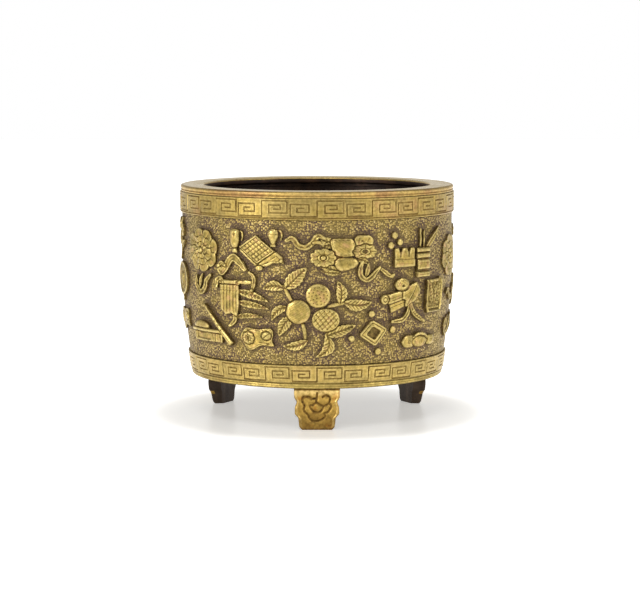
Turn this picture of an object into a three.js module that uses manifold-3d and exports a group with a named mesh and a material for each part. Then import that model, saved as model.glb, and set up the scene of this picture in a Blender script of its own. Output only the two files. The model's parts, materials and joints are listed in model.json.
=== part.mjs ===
// Tripod incense burner in gilt bronze: a round wall with emblems in high relief between two fret bands,
// a broad flat lip and three bracket feet. Millimetres, +Z up. The feet stand on z = 0, and the front
// foot faces -Y.

import * as THREE from 'three';
import { TessellateModifier } from 'three/addons/modifiers/TessellateModifier.js';
import { mergeVertices } from 'three/addons/utils/BufferGeometryUtils.js';
import Module from 'manifold-3d';

const wasm = await Module();
wasm.setup();

// Heights
const FOOT_HEIGHT = 18.3;
const BODY_HEIGHT = 83.6;
const LIP_THICKNESS = 2.8;
const UPPER_BAND_HEIGHT = 9.1;
const LOWER_BAND_HEIGHT = 7.8;
const BASE_EDGE_HEIGHT = 2.4;

// Radii, and how the wall draws in below its straight part
const RIM_RADIUS = 60.3;
const LIP_WIDTH = 10.3;
const RIM_OVERHANG = 0.6;
const DRAW_IN = 4.7;
const DRAW_IN_HEIGHT = 44.6;

// Thicknesses
const WALL_THICKNESS = 3.5;
const BASE_THICKNESS = 3;
const BAND_SEAT = 1.2;
const UPPER_BAND_PROUD = 0.9;
const LOWER_BAND_PROUD = 0.9;
const BASE_BEAD_PROUD = 0.9;
const LIP_BEAD_RADIUS = 1.3;
const SPIGOT_DEPTH = 1.5;
const SPIGOT_WIDTH = 1.6;
const EDGE_BREAK = 0.4;

// Feet, their tenons and the washers that the tenons are peened over
const FOOT_COUNT = 3;
const FOOT_INSET = 2.3;
const FOOT_DRAW_IN = 2;
const FOOT_THICKNESS = 5.2;
const FOOT_INNER_SHARE = 0.75;
const FOOT_KNEE = 0.5;
const FOOT_TOP_HALF_WIDTH = 9.8;
const FOOT_SHOULDER_HALF_WIDTH = 9.6;
const FOOT_NOTCH_HALF_WIDTH = 8.7;
const FOOT_BULGE_HALF_WIDTH = 9.4;
const FOOT_ANKLE_HALF_WIDTH = 8.05;
const FOOT_TOE_HALF_WIDTH = 7.5;
const FOOT_SOLE_HALF_WIDTH = 6.4;
const TENON_RADIUS = 1.5;
const TENON_HEAD = 0.5;
const WASHER_RADIUS = 2.5;
const WASHER_THICKNESS = 1.2;

// Emblems: how far they stand out, and the grid that they are drawn on, whose steps are about a millimetre
const PLATE_HEIGHT = 1.2;
const LEAF_HEIGHT = 1.5;
const RIBBON_HEIGHT = 1.3;
const DOME_HEIGHT = 1.9;
const BEAD_HEIGHT = 1.3;
const STEP_HEIGHT = 0.4;
const ROUND_GRID_COUNT = 376;
const UP_GRID_COUNT = 62;

// Clearances and facets
const FIT = 0.25;
const SOLDER_THICKNESS = 0.3;
const EDGE_GRID_COUNT = 10;
const SPLIT_PASSES = 8;
const RING_SEGMENTS = 48;
const DOME_SEGMENTS = 9;
const PIN_SEGMENTS = 16;
const MERGE_DISTANCE = 1e-4;

// Radii and levels that follow from these
const MOUTH_RADIUS = RIM_RADIUS - LIP_WIDTH;
const GROUND_RADIUS = RIM_RADIUS - RIM_OVERHANG;
const FOOT_TOP_RADIUS = GROUND_RADIUS - DRAW_IN - FOOT_INSET;
const FOOT_SOLE_RADIUS = FOOT_TOP_RADIUS - FOOT_DRAW_IN;
const BASE_Z = FOOT_HEIGHT;
const WALL_FOOT_Z = BASE_Z + BASE_EDGE_HEIGHT;
const FLOOR_Z = BASE_Z + BASE_THICKNESS;
const LOWER_BAND_TOP_Z = WALL_FOOT_Z + LOWER_BAND_HEIGHT;
const CURVE_TOP_Z = BASE_Z + DRAW_IN_HEIGHT;
const TOP_Z = BASE_Z + BODY_HEIGHT;
const LIP_Z = TOP_Z - LIP_THICKNESS;
const UPPER_BAND_FOOT_Z = LIP_Z - UPPER_BAND_HEIGHT;

// Colours of the finishes
const GILT = { color: 0xb8923f, roughness: 0.4, metalness: 0.9 };
const WORN_GILT = { color: 0xa58a45, roughness: 0.5, metalness: 0.85 };
const GROUND = { color: 0x6f5d3a, roughness: 0.65, metalness: 0.7 };
const DARK_BRONZE = { color: 0x3a2a1e, roughness: 0.6, metalness: 0.6 };

// Radius of the wall's ground at a height
function groundRadius(z) {
  const drop = Math.max(0, (CURVE_TOP_Z - z) / (CURVE_TOP_Z - BASE_Z));
  return GROUND_RADIUS - DRAW_IN * drop ** 1.5;
}

// Profile points along the wall's curve, moved outwards by an offset
function curvePoints(fromZ, toZ, offset, steps) {
  const points = [];
  for (let step = 0; step <= steps; step += 1) {
    const z = THREE.MathUtils.lerp(fromZ, toZ, step / steps);
    points.push([groundRadius(z) + offset, z]);
  }
  return points;
}

// Turned solid: the profile runs anticlockwise in radius and height
function turned(profile, segments = RING_SEGMENTS) {
  const isRing = profile.every(([radius]) => radius > 0);
  const points = profile.map(([radius, z]) => new THREE.Vector2(radius, z));
  if (isRing) {
    points.push(points[0].clone());
  }
  return new THREE.LatheGeometry(points, segments).rotateX(Math.PI / 2);
}

// Merged triangles of a geometry, without the ones that have collapsed to a line
function mergedTriangles(geometry) {
  const bare = geometry.clone();
  bare.deleteAttribute('normal');
  bare.deleteAttribute('uv');
  const merged = mergeVertices(bare, MERGE_DISTANCE);
  const index = merged.index.array;
  const kept = [];
  for (let i = 0; i < index.length; i += 3) {
    const corners = [index[i], index[i + 1], index[i + 2]];
    if (new Set(corners).size === 3) {
      kept.push(...corners);
    }
  }
  merged.setIndex(kept);
  return merged;
}

function toSolid(geometry) {
  const merged = mergedTriangles(geometry);
  return new wasm.Manifold(new wasm.Mesh({
    numProp: 3,
    vertProperties: new Float32Array(merged.attributes.position.array),
    triVerts: new Uint32Array(merged.index.array),
  }));
}

function toGeometry(solid) {
  const mesh = solid.getMesh();
  const geometry = new THREE.BufferGeometry();
  geometry.setAttribute('position', new THREE.BufferAttribute(mesh.vertProperties, 3));
  geometry.setIndex(new THREE.BufferAttribute(mesh.triVerts, 1));
  return geometry;
}

function joined(geometries) {
  const solids = geometries.map(toSolid);
  return toGeometry(solids.reduce((whole, piece) => whole.add(piece)));
}

function cut(geometry, cutters) {
  const solid = cutters.reduce((rest, cutter) => rest.subtract(toSolid(cutter)), toSolid(geometry));
  return toGeometry(solid);
}

// Triangle indices of a flat, convex ring
function fanFaces(ring) {
  return ring.slice(2).map((_, i) => [0, i + 1, i + 2]);
}

// Closed skin over a row of rings with as many points each
function skin(rings, footFaces = fanFaces, headFaces = fanFaces) {
  const count = rings[0].length;
  const faces = [];
  for (let ring = 0; ring + 1 < rings.length; ring += 1) {
    for (let i = 0; i < count; i += 1) {
      const a = ring * count + i;
      const b = ring * count + ((i + 1) % count);
      faces.push([a, b, b + count], [a, b + count, a + count]);
    }
  }
  const last = (rings.length - 1) * count;
  faces.push(...footFaces(rings[0]).map(([a, b, c]) => [a, c, b]));
  faces.push(...headFaces(rings.at(-1)).map((face) => face.map((corner) => last + corner)));
  return outwardGeometry(rings.flat(), faces);
}

// Geometry whose faces all point out, whichever way round its rings were given
function outwardGeometry(points, faces) {
  const normal = new THREE.Vector3();
  const volume = faces.reduce((sum, [a, b, c]) => {
    normal.crossVectors(points[b], points[c]);
    return sum + points[a].dot(normal);
  }, 0);
  const index = volume < 0 ? faces.map(([a, b, c]) => [a, c, b]) : faces;
  const geometry = new THREE.BufferGeometry().setFromPoints(points);
  geometry.setIndex(index.flat());
  return geometry;
}

function named(name, geometry, finish) {
  const mesh = new THREE.Mesh(mergedTriangles(geometry), new THREE.MeshStandardMaterial(finish));
  mesh.name = name;
  return mesh;
}

// The wall: a turned shell with a seat for each fret band, open at both ends
function bodyWall() {
  const innerOffset = -WALL_THICKNESS;
  const profile = [
    ...curvePoints(WALL_FOOT_Z, LOWER_BAND_TOP_Z + FIT, -BAND_SEAT, 1),
    ...curvePoints(LOWER_BAND_TOP_Z + FIT, CURVE_TOP_Z, 0, 3),
    [GROUND_RADIUS, UPPER_BAND_FOOT_Z - FIT],
    [GROUND_RADIUS - BAND_SEAT, UPPER_BAND_FOOT_Z - FIT],
    [GROUND_RADIUS - BAND_SEAT, LIP_Z],
    [GROUND_RADIUS + innerOffset, LIP_Z],
    ...curvePoints(CURVE_TOP_Z, WALL_FOOT_Z, innerOffset, 3),
  ];
  return turned(profile);
}

// A fret band: a ring let into its seat, a little proud of the ground
function fretBand(footZ, headZ, proud, steps) {
  const outer = curvePoints(footZ, headZ - EDGE_BREAK, proud, steps);
  const inner = curvePoints(headZ, footZ, FIT - BAND_SEAT, steps);
  return turned([...outer, [groundRadius(headZ) + proud - EDGE_BREAK, headZ], ...inner]);
}

// The lip: flat on top, rounded over at its outer edge, with a spigot inside the wall
function rimLip() {
  const spigotOuter = GROUND_RADIUS - WALL_THICKNESS - FIT;
  const beadCentreZ = TOP_Z - LIP_BEAD_RADIUS;
  const bead = [0, 0.25, 0.5].map((turn) => {
    const angle = turn * Math.PI;
    const radius = RIM_RADIUS - LIP_BEAD_RADIUS + LIP_BEAD_RADIUS * Math.cos(angle);
    return [radius, beadCentreZ + LIP_BEAD_RADIUS * Math.sin(angle)];
  });
  return turned([
    [MOUTH_RADIUS + EDGE_BREAK, LIP_Z],
    [spigotOuter - SPIGOT_WIDTH, LIP_Z],
    [spigotOuter - SPIGOT_WIDTH, LIP_Z - SPIGOT_DEPTH],
    [spigotOuter, LIP_Z - SPIGOT_DEPTH],
    [spigotOuter, LIP_Z],
    [RIM_RADIUS - EDGE_BREAK, LIP_Z],
    ...bead,
    [MOUTH_RADIUS + EDGE_BREAK, TOP_Z],
    [MOUTH_RADIUS, TOP_Z - EDGE_BREAK],
    [MOUTH_RADIUS, LIP_Z + EDGE_BREAK],
  ]);
}

// The bottom: a disc whose moulded edge shows under the lower band, with a hole for each tenon
function basePlate() {
  const edge = groundRadius(BASE_Z);
  const spigot = groundRadius(WALL_FOOT_Z) - WALL_THICKNESS - FIT;
  const disc = turned([
    [0, BASE_Z],
    [edge, BASE_Z],
    [edge + BASE_BEAD_PROUD, BASE_Z + BASE_EDGE_HEIGHT * 0.4],
    [edge + BASE_BEAD_PROUD, WALL_FOOT_Z - EDGE_BREAK],
    [edge + BASE_BEAD_PROUD - EDGE_BREAK, WALL_FOOT_Z],
    [spigot, WALL_FOOT_Z],
    [spigot, FLOOR_Z],
    [0, FLOOR_Z],
  ]);
  const holes = footAngles().map((angle) => {
    return tenonCylinder(TENON_RADIUS + FIT, BASE_Z - 1, FLOOR_Z + 1).rotateZ(angle);
  });
  return cut(disc, holes);
}

function footAngles() {
  return Array.from({ length: FOOT_COUNT }, (_, i) => (i * 2 * Math.PI) / FOOT_COUNT);
}

// Upright cylinder on the tenon's axis of the foot that faces -Y
function tenonCylinder(radius, fromZ, toZ) {
  const cylinder = new THREE.CylinderGeometry(radius, radius, toZ - fromZ, PIN_SEGMENTS);
  return cylinder.rotateX(Math.PI / 2).translate(0, -tenonAxisRadius(), (fromZ + toZ) / 2);
}

function tenonAxisRadius() {
  return FOOT_TOP_RADIUS - FOOT_THICKNESS + TENON_RADIUS;
}

// A foot: cusped sides, from the flat sole up to the base, narrower behind, with its tenon on top
function foot() {
  const levels = [
    [0, FOOT_SOLE_HALF_WIDTH],
    [0.07, FOOT_TOE_HALF_WIDTH],
    [0.28, FOOT_ANKLE_HALF_WIDTH],
    [0.38, FOOT_BULGE_HALF_WIDTH],
    [0.55, FOOT_BULGE_HALF_WIDTH],
    [0.68, FOOT_NOTCH_HALF_WIDTH],
    [0.78, FOOT_SHOULDER_HALF_WIDTH],
    [1, FOOT_TOP_HALF_WIDTH],
  ];
  const rings = levels.map(([share, halfWidth]) => footSection(share, halfWidth));
  const tenon = tenonCylinder(TENON_RADIUS, BASE_Z - BASE_THICKNESS, FLOOR_Z + WASHER_THICKNESS + TENON_HEAD);
  return joined([skin(rings), tenon]);
}

// Level section of a foot at a share of its height
function footSection(share, halfWidth) {
  const knee = FOOT_KNEE * Math.sin(Math.PI * share);
  const outer = THREE.MathUtils.lerp(FOOT_SOLE_RADIUS, FOOT_TOP_RADIUS, share) + knee;
  const inner = outer - knee - FOOT_THICKNESS;
  const innerHalf = halfWidth * FOOT_INNER_SHARE;
  const z = share * FOOT_HEIGHT;
  return [
    new THREE.Vector3(-halfWidth, -outer, z),
    new THREE.Vector3(halfWidth, -outer, z),
    new THREE.Vector3(innerHalf, -inner, z),
    new THREE.Vector3(-innerHalf, -inner, z),
  ];
}

// Washer round a tenon, on the floor inside
function tenonWasher() {
  const hole = TENON_RADIUS + FIT;
  const ring = turned([
    [hole, FLOOR_Z],
    [WASHER_RADIUS, FLOOR_Z],
    [WASHER_RADIUS, FLOOR_Z + WASHER_THICKNESS],
    [hole, FLOOR_Z + WASHER_THICKNESS],
  ], PIN_SEGMENTS);
  return ring.translate(0, -tenonAxisRadius(), 0);
}

// The emblems are drawn flat, with u across, v up and w out from the ground, and then laid on the wall

// Triangles of a flat ring that may have hollows, wound as the ring is
function outlineFaces(ring) {
  const flat = ring.map((point) => new THREE.Vector2(point.x, point.y));
  const winding = Math.sign(THREE.ShapeUtils.area(flat));
  return THREE.ShapeUtils.triangulateShape(flat, []).map(([a, b, c]) => {
    const sameWay = Math.sign(THREE.ShapeUtils.area([flat[a], flat[b], flat[c]])) === winding;
    return sameWay ? [a, b, c] : [a, c, b];
  });
}

// Flat plate of any outline
function plate(outline, height = PLATE_HEIGHT) {
  const ring = (w) => outline.map(([u, v]) => new THREE.Vector3(u, v, w));
  return skin([ring(0), ring(height)], outlineFaces, outlineFaces);
}

// Flat plate with an opening of the same form
function openPlate(outline, openShare, height = PLATE_HEIGHT) {
  const points = (share) => outline.map(([u, v]) => new THREE.Vector2(u * share, v * share));
  const shape = new THREE.Shape(points(1));
  shape.holes.push(new THREE.Path(points(openShare)));
  return new THREE.ExtrudeGeometry(shape, { depth: height, bevelEnabled: false });
}

// Outline of an oval, plain or with lobes
function oval(halfWidth, halfHeight, lobes = 0, lobeDepth = 0.14) {
  const count = lobes ? lobes * 3 : 12;
  return Array.from({ length: count }, (_, i) => {
    const angle = (i / count) * 2 * Math.PI;
    const reach = lobes && i % 3 === 0 ? 1 - lobeDepth : 1;
    return [halfWidth * reach * Math.cos(angle), halfHeight * reach * Math.sin(angle)];
  });
}

function dome(halfWidth, halfHeight, height = DOME_HEIGHT) {
  const profile = [[0, 0], [1, 0], [0.85, 0.56], [0.45, 0.9], [0, 1]];
  return turned(profile, DOME_SEGMENTS).scale(halfWidth, halfHeight, height);
}

function at(geometry, u, v, turn = 0) {
  return geometry.rotateZ(THREE.MathUtils.degToRad(turn)).translate(u, v, 0);
}

// Straight bar from one point to another
function bar([fromU, fromV], [toU, toV], width, height = PLATE_HEIGHT) {
  const length = Math.hypot(toU - fromU, toV - fromV);
  const acrossU = (-(toV - fromV) / length) * (width / 2);
  const acrossV = ((toU - fromU) / length) * (width / 2);
  return plate([
    [fromU - acrossU, fromV - acrossV],
    [toU - acrossU, toV - acrossV],
    [toU + acrossU, toV + acrossV],
    [fromU + acrossU, fromV + acrossV],
  ], height);
}

// Leaf from its stalk to its tip, with a raised midrib, bent to one side
function leaf([fromU, fromV], [toU, toV], width, bend = 0) {
  const length = Math.hypot(toU - fromU, toV - fromV);
  const stations = [[0, 0], [0.2, 0.85], [0.5, 1], [0.8, 0.7], [1, 0]];
  const side = (share, sign) => stations.map(([along, half]) => {
    const bow = bend * 4 * along * (1 - along);
    return new THREE.Vector3(along * length, sign * half * share * (width / 2) + bow, 0);
  });
  const ring = (share, w) => {
    const lower = side(share, -1);
    const upper = side(share, 1).slice(1, -1).reverse();
    return [...lower, ...upper].map((point) => point.setZ(w));
  };
  const body = skin([ring(1, 0), ring(1, LEAF_HEIGHT * 0.55), ring(0, LEAF_HEIGHT)], outlineFaces, () => []);
  return at(body, fromU, fromV, THREE.MathUtils.radToDeg(Math.atan2(toV - fromV, toU - fromU)));
}

// Ribbon through some points, which rises and falls as cloth does
function ribbon(points, width, height = RIBBON_HEIGHT) {
  const curve = new THREE.CatmullRomCurve3(points.map(([u, v]) => new THREE.Vector3(u, v, 0)));
  const steps = (points.length - 1) * 2;
  const rings = Array.from({ length: steps + 1 }, (_, i) => {
    const centre = curve.getPoint(i / steps);
    const along = curve.getTangent(i / steps);
    const half = (width / 2) * (i === 0 || i === steps ? 0.7 : 1);
    const crest = height * (i % 2 === 0 ? 1 : 0.75);
    const across = new THREE.Vector3(-along.y, along.x, 0).multiplyScalar(half);
    const corner = (sign, w) => centre.clone().addScaledVector(across, sign).setZ(w);
    return [corner(-1, 0), corner(1, 0), corner(1, crest), corner(-1, crest)];
  });
  return skin(rings);
}

// Flower with petals that lap over each other
function flower() {
  return [
    plate(oval(11.2, 9.4, 8)),
    plate(oval(7.4, 6.6, 6), PLATE_HEIGHT + STEP_HEIGHT),
    dome(3, 2.8),
  ];
}

// Low games table seen from above: its squared top, and the apron with a foot at each end
function gamesTable() {
  const top = [[-8.1, 0.7], [0.3, -6.1], [8.2, -0.7], [-0.2, 6.1]];
  const apron = [
    [-0.8, -7.1], [0.8, -8.9], [2.4, -7.1], [4.6, -7.1], [7.5, -5.6], [12, -5.8], [11.2, -2.8], [8, -0.4],
    [0.3, -5.8],
  ];
  return [plate(top, PLATE_HEIGHT + STEP_HEIGHT), plate(apron)];
}

// Jar for the counters, wide at the shoulder and narrow at the foot
function counterJar() {
  return [at(dome(2.2, 3), 0, 1), plate([[-1, -3.4], [1, -3.4], [1.2, 0], [-1.2, 0]])];
}

// The other jar, whose foot is taller
function tallCounterJar() {
  return [at(dome(2.2, 3.2), 0, 1.7), plate([[-1.3, -4.9], [1.3, -4.9], [1.3, 0], [-1.3, 0]])];
}

function foldedRibbon() {
  return [ribbon([[-7.2, -1.4], [-4.9, -3.4], [-0.4, 2.4], [2.3, 2.9], [6.8, -1.5]], 3)];
}

function loopedRibbon() {
  const points = [[-3.8, 2.6], [-4.2, -0.8], [-1.2, -3.9], [2, -2.4], [3.6, 1.2], [6.4, 3.9]];
  return [ribbon(points, 2.4)];
}

function wavyRibbon() {
  const points = [[-7.6, 0.5], [-5.1, 1.4], [-2.6, -1.5], [0.2, -2.4], [3, -0.7], [5.4, 2.4], [8, 1.6]];
  return [ribbon(points, 1.9)];
}

function trailingRibbon() {
  const points = [[-6.2, 4], [-7.1, 0.1], [-6.1, -2.6], [-3.2, -3.3], [1.6, 1.4], [6.7, -2.3], [8.5, -2]];
  return [ribbon(points, 2)];
}

// Wrapped bundle: two pads between a pair of rosettes
function wrappedBundle() {
  return [
    plate([[-4.7, 7], [4, 7], [5.2, 0.4], [-2.6, 0.2]]),
    plate([[-2.6, -1], [4, -0.8], [6.7, -2.6], [4.5, -5.2], [-1, -6.3], [-3.2, -4]]),
    plate([[-3.4, -2], [4.4, -2], [4.4, 1.4], [-3.4, 1.4]], PLATE_HEIGHT - STEP_HEIGHT),
    at(plate(oval(5.6, 4.1, 6), PLATE_HEIGHT + STEP_HEIGHT), -8.1, -0.7),
    at(dome(1.6, 1.4), -8.1, -0.7),
    at(plate(oval(5.4, 3.3, 6), PLATE_HEIGHT + STEP_HEIGHT), 9.5, 1.7),
    at(dome(1.6, 1.2), 9.5, 1.7),
    leaf([-10, -2.6], [-1.8, -7.4], 3.6),
    plate([[5.5, 4.2], [6.5, 8.4], [10.8, 8.5], [11.4, 5.2], [9.6, 3.4]]),
  ];
}

function bead() {
  return [dome(1.5, 1.5, BEAD_HEIGHT)];
}

// Brush rest in the form of three hills on a ledge
function brushRest() {
  const hills = [
    [-5.3, -4.1], [5.3, -4.1], [5.3, 3.4], [4.2, 4.1], [2, 1.3], [0.1, 3.9], [-2.1, 1.3], [-4, 3.4],
    [-5.3, 2.4],
  ];
  const ledge = [[-5.3, -4.1], [5.3, -4.1], [5.3, -0.4], [-5.3, -0.4]];
  return [plate(hills), plate(ledge, PLATE_HEIGHT + STEP_HEIGHT)];
}

// Brush pot with hoops round it, holding two rods and a slanted brush
function brushPot() {
  const pot = plate([[-3.8, -6.4], [3.8, -6.4], [4.3, 6.5], [-4.3, 6.5]]);
  const hoops = [4.6, -0.2, -5.2].map((v) => bar([-4.2, v], [4.2, v], 1.1, PLATE_HEIGHT + STEP_HEIGHT));
  const rods = [bar([-1.5, 6], [-1.5, 14.4], 1.1), bar([0.7, 6], [1, 13.6], 0.9)];
  return [pot, ...hoops, ...rods, leaf([1.6, 5.6], [12.4, 14.6], 2.8)];
}

// Books in a wrapper, tied with a ribbon whose knot stands on top
function tiedBooks() {
  const rightBook = [[0.1, 3.8], [0.1, -0.3], [2.2, -1], [2.2, -3.9], [8, -1.2], [10.7, 3.2], [8.3, 6.8]];
  return [
    plate([[-10, -0.1], [-6.2, -2.3], [0.6, -0.6], [0.6, 3.7], [-8.1, 1.7]]),
    at(dome(1.5, 1.9), -8.3, -0.1),
    plate([[-5.9, -2.5], [-4.9, -6.1], [2.9, -3.3], [2.9, -0.3]], PLATE_HEIGHT - STEP_HEIGHT),
    plate(rightBook, PLATE_HEIGHT + STEP_HEIGHT),
    at(openPlate(oval(3.6, 2.6), 0.35), 0.2, 5.9),
    ribbon([[4.8, -2], [4.2, -6], [1.6, -9.3], [-4.2, -9.9]], 2),
    ribbon([[5.4, -2], [7, -6], [10.5, -8.8], [14.6, -11]], 2),
  ];
}

// Square lozenge with a double frame round its opening
function lozenge() {
  const corners = [[-0.9, 5.8], [-6.7, -0.8], [1.1, -6], [6.7, 1.4]];
  return [openPlate(corners, 0.5), openPlate(corners, 0.82, PLATE_HEIGHT + STEP_HEIGHT)];
}

// Lobed root with a curved stalk
function lobedRoot() {
  return [
    at(dome(4.2, 2.9), -6.6, 0),
    at(dome(5.3, 2.7), 0.4, -0.2),
    at(dome(3.6, 2.4), 8, -0.4),
    ribbon([[-4.5, 1.6], [-1, 3], [3.4, 2.2], [5, 0.8]], 1.3),
  ];
}

// Pouch with a rolled edge and a panel of leaves
function framedPouch() {
  const outline = [[-6, 6.5], [-6.3, -5], [-4.8, -8], [4.8, -8], [6.3, -5], [6, 6.5]];
  return [
    plate(outline, PLATE_HEIGHT - STEP_HEIGHT),
    openPlate(outline, 0.8, PLATE_HEIGHT + STEP_HEIGHT),
    leaf([-1, -3], [3.6, 7], 3.4),
  ];
}

// Spray of three fruits with its leaves
function fruitSpray() {
  const stalk = 1.7;
  return [
    at(dome(5.1, 5.1), 0.5, 5.6),
    at(dome(5.1, 5.1), -7.8, -1.3),
    at(dome(5.8, 5), 3.7, -4.8),
    bar([-4.6, 1.2], [-2.6, 3], stalk),
    bar([1.4, 2], [3, -1.4], stalk),
    leaf([-13.2, 8.6], [-4.2, 17.6], 6),
    leaf([-13.8, 8.6], [-23.1, 7.9], 4.4, -1.4),
    ribbon([[-13.8, 9.8], [-12.4, 6.5], [-9.6, 1.4]], stalk),
    leaf([9.6, 2.2], [8.5, 11.9], 4.6, -1.2),
    ribbon([[3.2, -1.2], [5.8, 1.2], [12.2, 2.6]], stalk),
    leaf([11.2, 2.7], [23.6, 2.5], 5, -1.3),
    leaf([-11.8, 0.6], [-19.6, -5.6], 3.6, -1.8),
    leaf([-10.6, -3.4], [-16.5, -12], 4.8, -0.8),
    ribbon([[-7, -4], [-5.4, -9], [-4.9, -14.2]], stalk),
    leaf([-4, -13.6], [-14.9, -16.2], 4, 1.2),
    ribbon([[4, -8], [4.2, -10.4], [5.2, -12.4]], stalk),
    leaf([3.9, -10.4], [-0.7, -20.8], 5, 3.6),
    leaf([4.4, -11.6], [16.7, -7.2], 4.6),
  ];
}

// Canopy with hanging folds, a hooked pole and long jointed streamers
function canopy() {
  const folds = [-4.9, -1.7, 1.5].map((u) => bar([u, 7.6], [u - 0.5, -5.4], 2.4, PLATE_HEIGHT + STEP_HEIGHT));
  return [
    plate([[-6.4, 8.6], [-6.8, -4], [-4, -6.5], [-1, -5.6], [2, -7], [3.3, -2], [3.6, 8.6]]),
    ...folds,
    bar([3, 8], [10.6, 8.2], 1.8),
    ribbon([[8.6, 12.4], [10.6, 10.5], [10.6, 7.5], [9.8, 4.6]], 1.9),
    ribbon([[-8.6, 5.4], [-8.4, 8.2], [-6.4, 9.2], [-4.8, 7.4]], 2),
    leaf([1.6, 4.2], [17.2, 0.2], 3.6, 0.6),
    leaf([1.6, -0.6], [17.4, -3], 3.2, 0.4),
    leaf([0.4, -7.4], [14.8, -6.6], 2.4, 0.8),
    ribbon([[-0.6, -5], [0.8, -7.6], [-0.4, -9.6], [-2.6, -11.2]], 2),
  ];
}

// Casket with a flute leaning across it
function casketAndFlute() {
  return [
    plate([[-14, -7], [6.5, -6.6], [7.2, -1.2], [-15, -1.2]]),
    bar([-14.9, -1.9], [7.1, -1.9], 1.4, PLATE_HEIGHT + STEP_HEIGHT),
    at(dome(6, 2.4, PLATE_HEIGHT), -7.6, -0.6),
    plate([[-4.4, 9.8], [-3, 9.6], [13.2, -6], [11, -7.6]], PLATE_HEIGHT + 2 * STEP_HEIGHT),
  ];
}

// Gong plate of cloud form with a well and a boss
function cloudGong() {
  const outline = [
    [-8.2, 0.6], [-6.8, -2.1], [-4.5, -5.1], [-1.9, -4.8], [2.1, -2.9], [7.7, -3.1], [6.9, -0.7], [7.6, 2.7],
    [6.2, 4.7], [-5.1, 4.5],
  ];
  return [
    plate(outline),
    at(openPlate(oval(2.8, 2.8), 0.6, PLATE_HEIGHT + STEP_HEIGHT), -4.1, 0.2),
    at(dome(2, 1.7), 4.4, 1.4),
  ];
}

// Branch with leaves on both sides and blossoms
function blossomBranch() {
  return [
    ribbon([[-2, -9], [-0.6, -2], [-1.4, 4], [1.5, 9]], 1.8),
    leaf([-1, -3], [-6, 3], 3.2),
    leaf([-1, -4], [5.6, -0.6], 3.2),
    at(plate(oval(2.8, 2.8, 5), PLATE_HEIGHT + STEP_HEIGHT), -2.6, 6.4),
    at(plate(oval(2.8, 2.8, 5), PLATE_HEIGHT + STEP_HEIGHT), 1.6, 3.6),
    leaf([-0.6, 3], [-6.6, 8.4], 2.8),
  ];
}

// Broad fan with a short handle
function fan() {
  return [plate(oval(8.2, 7.4)), dome(2, 3), bar([0, -6.4], [0, -9.6], 1.8, PLATE_HEIGHT + STEP_HEIGHT)];
}

// A flat drawing laid on the wall, centred at an angle from the front and a height above the lower band
function laidOnWall(pieces, angle, height) {
  const flat = new TessellateModifier(EDGE_GRID_COUNT, SPLIT_PASSES).modify(joined(pieces));
  const position = flat.attributes.position;
  const rise = (UPPER_BAND_FOOT_Z - LOWER_BAND_TOP_Z) / UP_GRID_COUNT;
  for (let i = 0; i < position.count; i += 1) {
    const turn = THREE.MathUtils.degToRad(angle) + (2 * Math.PI * position.getX(i)) / ROUND_GRID_COUNT;
    const z = LOWER_BAND_TOP_Z + (height + position.getY(i)) * rise;
    const radius = groundRadius(z) + SOLDER_THICKNESS + position.getZ(i);
    position.setXYZ(i, radius * Math.sin(turn), -radius * Math.cos(turn), z);
  }
  return flat;
}

const burner = new THREE.Group();
burner.add(named('body_wall', bodyWall(), GROUND));
burner.add(named('rim_lip', rimLip(), GILT));
burner.add(named('upper_fret_band', fretBand(UPPER_BAND_FOOT_Z, LIP_Z, UPPER_BAND_PROUD, 1), WORN_GILT));
burner.add(named('lower_fret_band', fretBand(WALL_FOOT_Z, LOWER_BAND_TOP_Z, LOWER_BAND_PROUD, 1), GILT));
burner.add(named('base_plate', basePlate(), GILT));

const footNames = ['front', 'back_right', 'back_left'];
footAngles().forEach((angle, i) => {
  const corner = new THREE.Group();
  corner.rotation.z = angle;
  corner.add(named(`foot_${footNames[i]}`, foot(), GILT));
  corner.add(named(`tenon_washer_${footNames[i]}`, tenonWasher(), DARK_BRONZE));
  burner.add(corner);
});

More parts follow.
